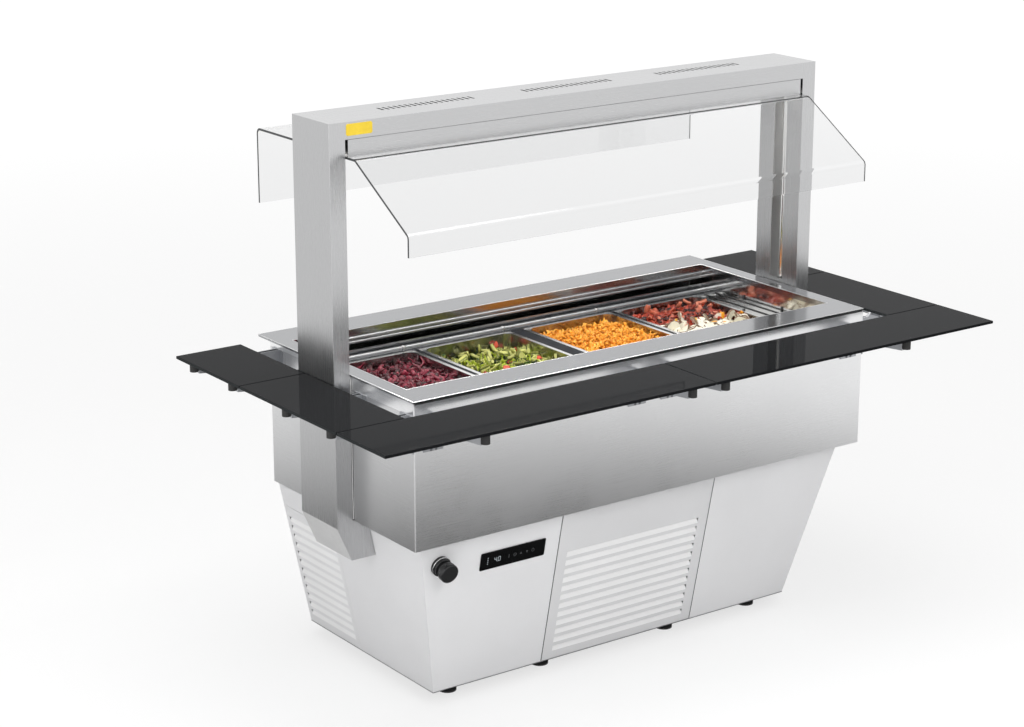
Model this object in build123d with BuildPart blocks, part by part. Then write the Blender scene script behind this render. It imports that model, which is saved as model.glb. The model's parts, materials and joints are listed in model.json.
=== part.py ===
"""Refrigerated salad bar with a lifting glass canopy, four food pans and fold-down tray slides.

Millimetres. X runs along the length, Y from the customer's side to the rear, Z up, floor at Z = 0.
"""

import os
from math import cos, radians, sin, tan

from build123d import *

os.makedirs("parts", exist_ok=True)

# Sheet metal and fits
sheet = 2.0
panel = 1.5
tub_wall = 1.5
panel_gap = 1.0
slip = 0.3
running_fit = 0.05
edge_round = 1.2
sheet_bend = 3.0

# Heights
unit_height = 1605.0
slide_top = 910.0
frame_rise = 20.0
skirt_height = 408.0
base_bottom = 35.0

# Full-size pans, long side front to rear, which set the size of the well
pan_width = 325.0
pan_length = 530.0
pan_depth = 65.0
pan_wall = 1.2
pan_rim = 11.0
pan_rim_thickness = 1.5
pan_corner = 28.0
pan_rim_corner = 16.0
pan_taper = 4.0
pan_drop = 83.0
centre_gap = 44.0
pair_gap = 13.0
pan_end_gap = 7.0
pan_front_gap = 5.0
pan_rear_gap = 36.0
bar_play = 1.0
rail_seat = 2.0
rail_thickness = 1.5
rail_drop = 20.0
rail_bar_radius = 8.0
rail_bar_gap = 11.0
bar_rib = 4.0
bar_rib_drop = 12.0

# Heaped food: depth of its edge under the rim, and height of the heap over that edge
beetroot_level = 18.0
green_level = 24.0
carrot_level = 14.0
antipasti_level = 14.0
salad_crown = 22.0
antipasti_crown = 24.0

# Well, its top frame and the skirt round it
tub_ledge = 43.5
tub_lap = 3.0
tub_tuck = 3.0
duct_depth = 30.0
floor_foam = 73.5
foam = 45.0
frame_front = 105.0
frame_rear = 110.0
frame_side = 46.5
frame_lip = 6.0
inner_lip = 18.0
carrier_plate = 3.0
wrap_inset = 39.0
wrap_overlap = 33.0
drain_x = 250.0
drain_setback = 215.0
drain_radius = 20.0
drain_wall = 3.0
drain_end_z = 120.0
drain_flange = 14.0

# Rear air duct
duct_slot = 18.0
duct_slot_drop = 62.0
duct_foot_gap = 12.0
ridge_radius = 5.0
ridge_pitch = 12.0

# Base: an upside-down truncated pyramid with an upright back
base_toe = 148.0
base_front_toe = 146.0
base_rear_gap = 3.0
base_lean = radians(12.2)
floor_plate = 2.5
panel_head_gap = 0.5
floor_upstand = 30.0
upstand_inset = 14.0
post_size = 30.0
post_inset_x = 50.0
post_inset_y = 55.0
service_half = 268.0
side_grille_width = 271.0
side_grille_head = 33.6

# Louvres, pressed into the grille panels
louvre_pitch = 28.0
louvre_slot = 17.0
louvre_depth = 11.0
louvre_first = 34.0
louvre_band = 140.0
louvre_margin = 33.0
side_louvre_margin = 14.0

# Feet
foot_radius = 25.0
foot_thickness = 14.0
stem_radius = 8.0
collar_radius = 12.8
foot_corner_inset = 91.0
foot_middle_x = 227.0
foot_inset = 64.0

# Columns and gantry
column_gap = 5.0
column_width = 48.5
column_setback = 297.0
column_depth = 182.0
column_side_drop = 13.0
column_foot_drop = 112.0
column_foot_taper = 44.0
column_foot_clear = 1.0
slot_above_frame = 10.0
rod_radius = 11.0
rod_seat_drop = 16.0
rod_seat = 6.0
beam_height = 46.0
vent_spacing = 468.0
vent_count = 18
vent_pitch = 17.0
vent_length = 36.0
vent_width = 7.0
vent_offset = 12.0

# Canopy, shown raised
canopy_gap = 8.5
canopy_height = 46.0
canopy_play = 1.0
canopy_flange = 38.0
glass = 6.0
glass_overlap = 23.0
guard_overhang = 1.5
guard_flat = 35.0
guard_setback = 18.0
guard_lip = 54.0
guard_drop = 210.0
rear_guard_inset = 12.5
bend_radius = 14.0
diffuser_gap = 4.0
diffuser = 4.0
slider_width = 44.0
slider_height = 60.0
slider_wall = 8.0
slider_clear = 5.5

# Tray slides
slide_glass = 8.0
front_slide_depth = 221.0
front_slide_gap = 45.0
side_slide_depth = 202.0
side_slide_gap = 2.5
slide_joint_gap = 3.0
side_split_offset = 52.0
hinge_drop = 31.0
hinge_reach = 40.0
side_hinge_inset = 16.0
pin_radius = 5.0
eye_radius = 12.0
arm_width = 10.0
arm_drop = 32.0
arm_tip = 37.0
ear_thickness = 4.0
ear_gap = 0.5
console_plate = 4.0
console_width = 60.0
console_height = 100.0
front_arm_inset = 57.0
side_arm_front = 72.0
side_arm_column_gap = 49.0
side_arm_rear = 46.0
strip_thickness = 6.0
strip_width = 28.0
strip_outside = 15.0
strip_inset = 1.0
strip_end_gap = 30.0
bumper_radius = 12.0
bumper_height = 30.0
bumper_from_edge = 30.0

# Controls on the front left panel
display_gap = 51.0
display_drop = 103.0
display_length = 215.0
display_height = 54.0
display_corner = 4.0
display_proud = 3.0
display_body = 40.0
display_margin = 8.0
knob_inset = 54.7
knob_drop = 79.0
rosette_radius = 28.0
rosette_thickness = 10.0
flange_radius = 25.0
flange_thickness = 8.0
neck_radius = 19.0
neck_length = 10.0
knob_radius = 27.0
knob_disc = 22.0
knob_round = 4.0
knob_shaft_radius = 5.0
knob_shaft_length = 40.0

# Cooling machine
condenser_half = 190.0
condenser_setback = 54.0
condenser_depth = 40.0
condenser_bottom_z = 60.0
condenser_height = 300.0
condenser_fins = 30
coil_fin = 1.0
coil_tube_radius = 5.0
coil_tube_pitch = 45.0
shroud_depth = 50.0
shroud_wall = 2.0
fan_clear = 4.0
fan_radius = 130.0
fan_hub_radius = 32.0
fan_hub_length = 24.0
fan_blade = 2.0
fan_blade_angle = 35.0
fan_blades = 5
motor_radius = 40.0
motor_length = 60.0
motor_shaft_radius = 5.0
motor_shaft_end = 4.0
strut_width = 12.0
compressor_x = 330.0
compressor_rear_gap = 203.0
compressor_radius = 80.0
compressor_height = 200.0
compressor_foot = 5.0
compressor_foot_length = 208.0
compressor_foot_width = 176.0
evaporator_half = 260.0
evaporator_setback = 275.0
evaporator_depth = 180.0
evaporator_height = 90.0
evaporator_fin_gap = 12.0
evaporator_fins = 26
evap_fan_x = 0.0
evap_fan_size = 150.0
evap_fan_foot = 15.0
evap_fan_depth = 26.0
evap_fan_radius = 66.0
evap_hub_radius = 24.0
evap_hub_length = 14.0
evap_shaft_radius = 4.0
fan_guard = 4.0
fan_guard_width = 10.0

# Places in depth, from the customer's edge to the rear
unit_depth = (
    front_slide_depth + front_slide_gap + frame_front + pan_front_gap + pan_length + pan_rear_gap + frame_rear
)
front_y = -unit_depth / 2
rear_y = unit_depth / 2
front_slide_inner_y = front_y + front_slide_depth
side_front_y = front_slide_inner_y + slide_joint_gap
skirt_front_y = front_slide_inner_y + front_slide_gap
front_hinge_y = skirt_front_y - hinge_reach
opening_front_y = skirt_front_y + frame_front
pan_front_y = opening_front_y + pan_front_gap
pan_rear_y = pan_front_y + pan_length
pan_y = (pan_front_y + pan_rear_y) / 2
opening_rear_y = pan_rear_y + pan_rear_gap
tub_front_y = opening_front_y - tub_tuck
tub_rear_y = opening_rear_y + duct_depth
drain_y = opening_front_y + drain_setback
base_front_y = skirt_front_y + base_front_toe
base_rear_y = rear_y - base_rear_gap
side_joint_y = base_rear_y - side_grille_width
column_front_y = skirt_front_y + column_setback
column_rear_y = column_front_y + column_depth
column_y = column_front_y + column_depth / 2
side_split_y = column_y + side_split_offset
guard_lip_y = skirt_front_y + guard_setback
guard_bend_y = column_front_y - guard_flat
condenser_front_y = base_front_y + condenser_setback
condenser_rear_y = condenser_front_y + condenser_depth
shroud_rear_y = condenser_rear_y + shroud_depth
compressor_y = base_rear_y - compressor_rear_gap
evaporator_front_y = opening_front_y + evaporator_setback

# Places along the length, from the middle outwards
tub_bottom_half = centre_gap / 2 + 2 * pan_width + pair_gap + pan_end_gap
opening_half = tub_bottom_half + tub_ledge
box_half = opening_half + frame_side
wrap_half = box_half - wrap_inset
base_half = box_half - base_toe
foot_rows_x = (base_half - foot_corner_inset, foot_middle_x)
column_inner = box_half + column_gap
column_outer = column_inner + column_width
rod_x = column_inner + column_width / 2
canopy_half = column_inner - canopy_gap
side_inner_x = column_outer + side_slide_gap
side_hinge_x = side_inner_x - side_hinge_inset
slide_half = side_inner_x + side_slide_depth
front_arm_x = (front_arm_inset - box_half, -front_arm_inset, front_arm_inset, box_half - front_arm_inset)
side_arm_y = (
    side_front_y + side_arm_front,
    column_front_y - side_arm_column_gap,
    column_rear_y + side_arm_column_gap,
    rear_y - side_arm_rear,
)

# Heights of the pieces
frame_top = slide_top + frame_rise
body_top = frame_top - frame_lip
skirt_bottom = frame_top - skirt_height
wrap_bottom = skirt_bottom - wrap_overlap
panel_top = skirt_bottom - panel_head_gap
floor_top = base_bottom + floor_plate
carrier_top = skirt_bottom + carrier_plate
tub_floor_z = carrier_top + floor_foam + tub_wall
pan_rim_z = frame_top - pan_drop
rail_z = pan_rim_z - pan_rim_thickness
ledge_z = rail_z - rail_thickness
tub_top_z = frame_top - inner_lip + tub_lap
duct_top_z = frame_top - inner_lip - slip
duct_slot_z = frame_top - duct_slot_drop
duct_bottom_z = tub_floor_z + duct_foot_gap
column_foot_z = skirt_bottom - column_foot_drop
column_side_end_z = skirt_bottom - column_side_drop
slot_bottom_z = frame_top + slot_above_frame
rod_seat_z = slot_bottom_z - rod_seat_drop
beam_bottom = unit_height - beam_height
canopy_top = beam_bottom - canopy_play
canopy_bottom = beam_bottom - canopy_height
glass_mid_z = canopy_bottom - glass / 2
guard_bottom_z = canopy_bottom - guard_drop
guard_lip_top_z = guard_bottom_z + guard_lip
glass_under = slide_top - slide_glass
hinge_z = slide_top - hinge_drop
display_z = skirt_bottom - display_drop
knob_z = skirt_bottom - knob_drop
condenser_top_z = condenser_bottom_z + condenser_height
condenser_fan_z = (condenser_bottom_z + condenser_top_z) / 2
evap_fan_z = tub_floor_z + evap_fan_foot + evap_fan_size / 2


def lean_out(z):
    """How far a leaning base panel has moved out at height z."""
    return (z - floor_top) * tan(base_lean)


def along_slope(z):
    """Distance along a leaning panel from its foot to height z."""
    return (z - floor_top) / cos(base_lean)


def at_y(y):
    """Plane across the length at depth y, with sketch axes X and Z; a negative extrude goes rearwards."""
    return Plane.XZ.offset(-y)


def write(piece, name):
    """Label a finished piece and write it as its own node."""
    piece.label = name
    export_step(piece, f"parts/{name}.step")


def slab(x0, x1, y0, y1, z0, z1, mode=Mode.ADD):
    """A box between two corners."""
    with Locations(((x0 + x1) / 2, (y0 + y1) / 2, (z0 + z1) / 2)):
        Box(x1 - x0, y1 - y0, z1 - z0, mode=mode)


front_plane = Plane(
    origin=(0, base_front_y, floor_top), x_dir=(1, 0, 0), z_dir=(0, -cos(base_lean), -sin(base_lean))
)
panel_rise = along_slope(panel_top)
top_half = base_half + lean_out(panel_top)
louvre_count = 1 + int((panel_rise - louvre_band - louvre_first) / louvre_pitch)
side_grille_rise = louvre_first + (louvre_count - 1) * louvre_pitch + louvre_slot / 2 + side_grille_head
display_x = -(service_half + display_gap + display_length / 2)
knob_x = knob_inset - base_half - lean_out(knob_z)


def side_plane(side):
    """Outer face of the leaning base side; its sketch x is side * Y."""
    return Plane(
        origin=(side * base_half, 0, floor_top),
        x_dir=(0, side, 0),
        z_dir=(side * cos(base_lean), 0, -sin(base_lean)),
    )


def louvres(face_plane, x0, x1):
    """Open-ended louvres pressed into a panel between x0 and x1 of its plane."""
    length = x1 - x0
    with BuildSketch(face_plane) as slots:
        for row in range(louvre_count):
            with Locations(((x0 + x1) / 2, louvre_first + row * louvre_pitch)):
                Rectangle(length, louvre_slot)
    extrude(slots.sketch, amount=-panel, mode=Mode.SUBTRACT)
    section = Plane(
        origin=face_plane.from_local_coords((x1, 0, 0)), x_dir=face_plane.z_dir, z_dir=-face_plane.x_dir
    )
    with BuildSketch(section) as blades:
        for row in range(louvre_count):
            low = louvre_first + row * louvre_pitch - louvre_slot / 2
            Polygon(
                (-panel, low - panel),
                (0, low - panel),
                (0, low),
                (-louvre_depth, low + louvre_slot),
                (-louvre_depth - panel, low + louvre_slot),
                (-panel, low + panel),
                align=None,
            )
    extrude(blades.sketch, amount=length)


# Chassis: floor pan, four posts and the plate that carries the well
with BuildPart() as chassis:
    slab(-base_half, base_half, base_front_y, base_rear_y, base_bottom, floor_top)
    inner_half = base_half - upstand_inset
    inner_front = base_front_y + upstand_inset
    inner_rear = base_rear_y - upstand_inset
    slab(-inner_half, inner_half, inner_front, inner_rear, floor_top, floor_top + floor_upstand)
    slab(
        sheet - inner_half,
        inner_half - sheet,
        inner_front + sheet,
        inner_rear - sheet,
        floor_top,
        floor_top + floor_upstand,
        mode=Mode.SUBTRACT,
    )
    post_x = base_half - post_inset_x
    post_front_y = base_front_y + post_inset_y
    post_rear_y = base_rear_y - post_inset_y
    with BuildSketch(Plane.XY.offset(base_bottom)):
        for x in (-post_x, post_x):
            for y in (post_front_y, post_rear_y):
                with Locations((x, y)):
                    Rectangle(post_size, post_size)
                    Rectangle(post_size - 2 * sheet, post_size - 2 * sheet, mode=Mode.SUBTRACT)
    extrude(amount=carrier_top - base_bottom)
    slab(
        sheet + slip - box_half,
        box_half - sheet - slip,
        skirt_front_y + sheet + slip,
        column_rear_y - sheet - slip,
        skirt_bottom,
        carrier_top,
    )
    slab(
        sheet + slip - wrap_half,
        wrap_half - sheet - slip,
        column_y,
        rear_y - sheet - slip,
        skirt_bottom,
        carrier_top,
    )
    with Locations((drain_x, drain_y, skirt_bottom)):
        Cylinder(drain_radius + slip, 4 * carrier_plate, mode=Mode.SUBTRACT)
    foot_front_y = base_front_y + foot_inset
    foot_rear_y = base_rear_y - foot_inset
    for x in foot_rows_x:
        for y in (foot_front_y, foot_rear_y):
            with Locations((x, y, base_bottom), (-x, y, base_bottom)):
                Cylinder(stem_radius, 4 * floor_plate, mode=Mode.SUBTRACT)
write(chassis.part, "chassis")

# Levelling feet: pad, stem and lock collar in one, eight alike
with BuildPart() as levelling_feet:
    for x in foot_rows_x:
        for y in (foot_front_y, foot_rear_y):
            with Locations((x, y, 0), (-x, y, 0)):
                Cylinder(foot_radius, foot_thickness, align=(Align.CENTER, Align.CENTER, Align.MIN))
                Cylinder(
                    stem_radius, floor_top + stem_radius, align=(Align.CENTER, Align.CENTER, Align.MIN)
                )
            with Locations((x, y, base_bottom - stem_radius), (-x, y, base_bottom - stem_radius)):
                Cylinder(collar_radius, stem_radius, align=(Align.CENTER, Align.CENTER, Align.MIN))
write(levelling_feet.part, "levelling_feet")


# Front panels left and right of the service grille
def front_panel(side):
    """Leaning front panel from the service grille's joint to the corner."""
    joint = side * (service_half + panel_gap / 2)
    with BuildPart() as front:
        with BuildSketch(front_plane):
            Polygon(
                (joint, 0),
                (side * base_half, 0),
                (side * top_half, panel_rise),
                (joint, panel_rise),
                align=None,
            )
        extrude(amount=-panel)
    return front.part


with BuildPart() as front_left_panel:
    add(front_panel(-1))
    with BuildSketch(front_plane):
        with Locations((display_x, along_slope(display_z))):
            Rectangle(display_length - 2 * display_margin, display_height - 2 * display_margin)
        with Locations((knob_x, along_slope(knob_z))):
            Circle(knob_shaft_radius + slip)
    extrude(amount=-2 * panel, both=True, mode=Mode.SUBTRACT)
write(front_left_panel.part, "front_left_panel")

with BuildPart() as front_right_panel:
    add(front_panel(1))
write(front_right_panel.part, "front_right_panel")

# Service grille between them, which comes off forwards
with BuildPart() as service_grille:
    with BuildSketch(front_plane):
        half = service_half - panel_gap / 2
        Polygon((-half, slip), (half, slip), (half, panel_rise - slip), (-half, panel_rise - slip), align=None)
    extrude(amount=-panel)
    louvres(front_plane, louvre_margin - service_half, service_half - louvre_margin)
write(service_grille.part, "service_grille")


# Side panels and side grilles
def panel_front_y(z):
    """Depth at height z where a side panel starts, just behind the front panel."""
    return base_front_y - lean_out(z) + panel / cos(base_lean) + slip


side_rear_y = base_rear_y - panel - slip


def side_panel(side):
    """Plain side panel with a band that runs on above the side grille."""
    outline = [
        (panel_front_y(floor_top), 0),
        (side_joint_y, 0),
        (side_joint_y, side_grille_rise),
        (side_rear_y, side_grille_rise),
        (side_rear_y, panel_rise),
        (panel_front_y(panel_top), panel_rise),
    ]
    with BuildPart() as side_sheet:
        with BuildSketch(side_plane(side)):
            Polygon(*[(side * y, v) for y, v in outline], align=None)
        extrude(amount=-panel)
    return side_sheet.part


def side_grille(side):
    """Louvred panel in the rear half of the base side."""
    ends = sorted((side * (side_joint_y + panel_gap), side * side_rear_y))
    rise = side_grille_rise - panel_gap
    with BuildPart() as grille_sheet:
        with BuildSketch(side_plane(side)):
            Polygon((ends[0], 0), (ends[1], 0), (ends[1], rise), (ends[0], rise), align=None)
        extrude(amount=-panel)
        louvres(side_plane(side), ends[0] + side_louvre_margin, ends[1] - side_louvre_margin)
    return grille_sheet.part


for side, name in ((-1, "left"), (1, "right")):
    write(side_panel(side), f"{name}_side_panel")
    write(side_grille(side), f"{name}_side_grille")

# Back panel of the base, upright
with BuildPart() as back_panel:
    with BuildSketch(at_y(base_rear_y)):
        Polygon(
            (-base_half, floor_top),
            (base_half, floor_top),
            (top_half, panel_top),
            (-top_half, panel_top),
            align=None,
        )
    extrude(amount=panel)
write(back_panel.part, "back_panel")

# Steel skirt: front and both ends as far as the columns, open at the rear
with BuildPart() as skirt:
    slab(-box_half, box_half, skirt_front_y, column_rear_y, skirt_bottom, body_top)
    fillet(skirt.edges().filter_by(Axis.Z).group_by(Axis.Y)[0], sheet_bend)
    slab(
        sheet - box_half,
        box_half - sheet,
        skirt_front_y + sheet,
        column_rear_y - sheet,
        skirt_bottom,
        body_top,
        mode=Mode.SUBTRACT,
    )
    slab(-wrap_half, wrap_half, column_y, column_rear_y, skirt_bottom, body_top, mode=Mode.SUBTRACT)
write(skirt.part, "skirt")

# Rear body: both ends behind the columns and the back in one folded sheet
with BuildPart() as body_wrap:
    slab(-wrap_half, wrap_half, column_rear_y, rear_y, wrap_bottom, body_top)
    slab(
        sheet - wrap_half,
        wrap_half - sheet,
        column_rear_y - sheet,
        rear_y - sheet,
        wrap_bottom,
        body_top,
        mode=Mode.SUBTRACT,
    )
write(body_wrap.part, "body_wrap")

# Top frame with a lip all round and a second one into the well
with BuildPart() as top_frame:
    slab(-box_half, box_half, skirt_front_y, rear_y, body_top, frame_top)
    fillet(top_frame.edges().filter_by(Axis.Z), sheet_bend)
    slab(
        sheet - box_half,
        box_half - sheet,
        skirt_front_y + sheet,
        rear_y - sheet,
        body_top,
        frame_top - sheet,
        mode=Mode.SUBTRACT,
    )
    slab(
        -opening_half - sheet,
        opening_half + sheet,
        opening_front_y - sheet,
        opening_rear_y + sheet,
        frame_top - inner_lip,
        frame_top - sheet,
    )
    slab(
        -opening_half,
        opening_half,
        opening_front_y,
        opening_rear_y,
        frame_top - inner_lip,
        frame_top,
        mode=Mode.SUBTRACT,
    )
    fillet(top_frame.faces().sort_by(Axis.Z)[-1].edges(), edge_round)
write(top_frame.part, "top_frame")


# Well tub, welded from plain sheets: upright walls, and a ledge at each end under a wider mouth
tub_top_half = opening_half + sheet + slip
tub_outer_front = tub_front_y - tub_wall
tub_outer_rear = tub_rear_y + tub_wall


with BuildPart() as tub_floor:
    slab(
        -tub_bottom_half - tub_wall,
        tub_bottom_half + tub_wall,
        tub_outer_front,
        tub_outer_rear,
        tub_floor_z - tub_wall,
        tub_floor_z,
    )
    with Locations((drain_x, drain_y, tub_floor_z)):
        Cylinder(drain_radius, 4 * tub_wall, mode=Mode.SUBTRACT)
tub_sheets = [
    (-half, half, y, y + tub_wall, z0, z1)
    for half, z0, z1 in ((tub_bottom_half, tub_floor_z, ledge_z), (tub_top_half, ledge_z, tub_top_z))
    for y in (tub_outer_front, tub_rear_y)
]
for inner, outer, z0, z1 in (
    (tub_bottom_half, tub_bottom_half + tub_wall, tub_floor_z, ledge_z - tub_wall),
    (tub_bottom_half, tub_top_half + tub_wall, ledge_z - tub_wall, ledge_z),
    (tub_top_half, tub_top_half + tub_wall, ledge_z, tub_top_z),
):
    tub_sheets.append((inner, outer, tub_outer_front, tub_outer_rear, z0, z1))
    tub_sheets.append((-outer, -inner, tub_outer_front, tub_outer_rear, z0, z1))
tub_solids = tub_floor.part.solids()
for sides in tub_sheets:
    with BuildPart() as tub_sheet:
        slab(*sides)
    tub_solids += tub_sheet.part.solids()
write(Compound(tub_solids), "well_tub")

# Foam slabs under the tub and round its walls, those at the ends under the ledges
foam_half = tub_bottom_half + tub_wall
foam_front_y = tub_outer_front
foam_rear_y = tub_outer_rear
foam_base_z = tub_floor_z - tub_wall
with BuildPart() as foam_floor:
    slab(-foam_half - foam, foam_half + foam, foam_front_y - foam, foam_rear_y + foam, carrier_top, foam_base_z)
    with Locations((drain_x, drain_y, carrier_top)):
        Cylinder(drain_radius, 2 * (tub_floor_z - carrier_top), mode=Mode.SUBTRACT)
foam_slabs = foam_floor.part.solids()
for x0, x1, y0, y1 in (
    (-foam_half - foam, foam_half + foam, foam_front_y - foam, foam_front_y),
    (-foam_half - foam, foam_half + foam, foam_rear_y, foam_rear_y + foam),
    (-foam_half - foam, -foam_half, foam_front_y, foam_rear_y),
    (foam_half, foam_half + foam, foam_front_y, foam_rear_y),
):
    with BuildPart() as foam_wall:
        slab(x0, x1, y0, y1, foam_base_z, ledge_z - tub_wall)
    foam_slabs += foam_wall.part.solids()
write(Compound(foam_slabs), "well_insulation")

# Drain pipe from the well floor into the base
with BuildPart() as drain_pipe:
    with Locations((drain_x, drain_y, drain_end_z)):
        Cylinder(
            drain_radius - slip, tub_floor_z - drain_end_z, align=(Align.CENTER, Align.CENTER, Align.MIN)
        )
    with Locations((drain_x, drain_y, tub_floor_z)):
        Cylinder(drain_radius + drain_flange, tub_wall, align=(Align.CENTER, Align.CENTER, Align.MIN))
    with Locations((drain_x, drain_y, drain_end_z)):
        Cylinder(
            drain_radius - drain_wall,
            tub_floor_z,
            align=(Align.CENTER, Align.CENTER, Align.MIN),
            mode=Mode.SUBTRACT,
        )
        Cylinder(drain_radius + drain_wall, drain_wall, align=(Align.CENTER, Align.CENTER, Align.MAX))
write(drain_pipe.part, "drain_pipe")

# Rear air duct: lower wall, an air slot, and a ridged upper wall, joined by end cheeks
with BuildPart() as air_duct:
    cheek = tub_bottom_half - slip
    duct_half = tub_top_half - slip
    slab(-cheek, cheek, opening_rear_y, opening_rear_y + sheet, duct_bottom_z, duct_slot_z)
    slab(-duct_half, duct_half, opening_rear_y, opening_rear_y + sheet, ledge_z, duct_slot_z)
    slab(-duct_half, duct_half, opening_rear_y, opening_rear_y + sheet, duct_slot_z + duct_slot, duct_top_z)
    for x in (-cheek, cheek - sheet):
        slab(x, x + sheet, opening_rear_y, tub_rear_y, duct_bottom_z, duct_top_z)
    ridge_z = duct_slot_z + duct_slot + ridge_radius
    with BuildSketch(Plane.YZ.offset(-duct_half)):
        with Locations((opening_rear_y, ridge_z), (opening_rear_y, ridge_z + ridge_pitch)):
            Circle(ridge_radius)
    extrude(amount=2 * duct_half)
    with Locations(Plane(origin=(evap_fan_x, opening_rear_y, evap_fan_z), z_dir=(0, 1, 0))):
        Cylinder(evap_fan_radius + fan_clear, 4 * sheet, mode=Mode.SUBTRACT)
write(air_duct.part, "air_duct")

# Pan rails across the front and rear of the well, their ends on the ledges
with BuildPart() as pan_rails:
    rail_half = tub_top_half - slip
    apron_half = tub_bottom_half - slip
    ledge_front = pan_front_y + pan_rim - rail_seat
    ledge_rear = pan_rear_y - pan_rim + rail_seat
    bar_y = pan_rear_y + rail_bar_gap + rail_bar_radius
    slab(-rail_half, rail_half, tub_front_y, ledge_front, rail_z - rail_thickness, rail_z)
    slab(-apron_half, apron_half, tub_front_y, tub_front_y + sheet, rail_z - rail_drop, rail_z)
    slab(-rail_half, rail_half, ledge_rear, bar_y, rail_z - rail_thickness, rail_z)
    with BuildSketch(Plane.YZ.offset(-rail_half)):
        with Locations((bar_y, rail_z - rail_thickness + rail_bar_radius)):
            Circle(rail_bar_radius)
    extrude(amount=2 * rail_half)
write(pan_rails.part, "pan_rails")

# Pan places, and the adapter bars that fill the gaps between them
pan_inner_x = centre_gap / 2 + pan_width / 2
pan_outer_x = pan_inner_x + pan_width + pair_gap
pan_places = (-pan_outer_x, -pan_inner_x, pan_inner_x, pan_outer_x)
pair_x = centre_gap / 2 + pan_width + pair_gap / 2

with BuildPart() as adapter_bars:
    for x, gap in ((-pair_x, pair_gap), (0, centre_gap), (pair_x, pair_gap)):
        half = gap / 2 - bar_play
        slab(x - half, x + half, pan_front_y, pan_rear_y, rail_z, pan_rim_z)
        slab(
            x - bar_rib / 2,
            x + bar_rib / 2,
            ledge_front + bar_play,
            ledge_rear - bar_play,
            rail_z - bar_rib_drop,
            rail_z,
        )
write(adapter_bars.part, "adapter_bars")


def food_pan(x):
    """One full-size pan hanging by its rim."""
    with BuildPart() as pan:
        with BuildSketch(Plane.XY.offset(rail_z)):
            with Locations((x, pan_y)):
                RectangleRounded(pan_width, pan_length, pan_rim_corner)
        extrude(amount=pan_rim_thickness)
        with BuildSketch(Plane.XY.offset(pan_rim_z)):
            with Locations((x, pan_y)):
                RectangleRounded(pan_width - 2 * pan_rim, pan_length - 2 * pan_rim, pan_corner)
        extrude(amount=-pan_depth, taper=pan_taper)
        with BuildSketch(Plane.XY.offset(pan_rim_z)):
            with Locations((x, pan_y)):
                inset = 2 * (pan_rim + pan_wall)
                RectangleRounded(pan_width - inset, pan_length - inset, pan_corner - pan_wall)
        extrude(amount=-(pan_depth - pan_wall), taper=pan_taper, mode=Mode.SUBTRACT)
    return pan.part


def filling(x, level, crown):
    """Heaped food in a pan, with its edge at level under the rim and a crown over that."""
    inset = 2 * (pan_rim + pan_wall + slip) + 2 * level * tan(radians(pan_taper))
    width = pan_width - inset
    length = pan_length - inset
    edge_z = pan_rim_z - level
    floor_z = pan_rim_z - pan_depth + pan_wall
    with BuildPart() as food:
        with BuildSketch(Plane.XY.offset(edge_z)):
            with Locations((x, pan_y)):
                RectangleRounded(width, length, pan_corner - pan_wall)
        extrude(amount=-(edge_z - floor_z), taper=pan_taper)
        for rise, shrink in ((0, 0), (0.6, 0.12), (0.9, 0.35), (1, 0.6)):
            with BuildSketch(Plane.XY.offset(edge_z + rise * crown)):
                with Locations((x, pan_y)):
                    RectangleRounded(width * (1 - shrink), length * (1 - shrink), pan_corner - pan_wall)
        loft()
    return food.part


fillings = (
    ("beetroot_salad", beetroot_level, salad_crown),
    ("green_salad", green_level, salad_crown),
    ("carrot_salad", carrot_level, salad_crown),
    ("antipasti", antipasti_level, antipasti_crown),
)
for number, (x, (food_name, level, crown)) in enumerate(zip(pan_places, fillings), start=1):
    write(food_pan(x), f"pan_{number}")
    write(filling(x, level, crown), food_name)


def finned_coil(half, y0, y1, z0, z1, fins, foot_z):
    """Heat exchanger: end plates that stand on foot_z, thin fins and straight tubes through them."""
    with BuildPart() as coil:
        for side in (-1, 1):
            end = side * (half - sheet / 2)
            slab(end - sheet / 2, end + sheet / 2, y0, y1, foot_z, z1)
        pitch = 2 * half / (fins + 1)
        for fin in range(1, fins + 1):
            x = fin * pitch - half
            slab(x - coil_fin / 2, x + coil_fin / 2, y0, y1, z0, z1)
        rows = 1 + int((z1 - z0) / coil_tube_pitch)
        columns = 1 + int((y1 - y0) / coil_tube_pitch)
        with BuildSketch(Plane.YZ.offset(-half)):
            with Locations(((y0 + y1) / 2, (z0 + z1) / 2)):
                with GridLocations((y1 - y0) / columns, (z1 - z0) / rows, columns, rows):
                    Circle(coil_tube_radius)
        extrude(amount=2 * half)
    return coil.part


write(
    finned_coil(
        evaporator_half,
        evaporator_front_y,
        evaporator_front_y + evaporator_depth,
        tub_floor_z + evaporator_fin_gap,
        tub_floor_z + evaporator_height,
        evaporator_fins,
        tub_floor_z,
    ),
    "evaporator_coil",
)
write(
    finned_coil(
        condenser_half,
        condenser_front_y,
        condenser_rear_y,
        condenser_bottom_z,
        condenser_top_z,
        condenser_fins,
        floor_top,
    ),
    "condenser_coil",
)


def fan(centre, hub_radius, hub_length, tip_radius, bore_radius):
    """Axial fan on an axis along Y, with flat blades set at an angle."""
    with BuildPart(Plane(origin=centre, x_dir=(1, 0, 0), z_dir=(0, 1, 0))) as rotor:
        Cylinder(hub_radius, hub_length)
        root = hub_radius - hub_length / 3
        with PolarLocations((tip_radius + root) / 2, fan_blades):
            Box(tip_radius - root, 0.9 * hub_length, fan_blade, rotation=(fan_blade_angle, 0, 0))
        Cylinder(bore_radius, 2 * hub_length, mode=Mode.SUBTRACT)
    return rotor.part


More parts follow.
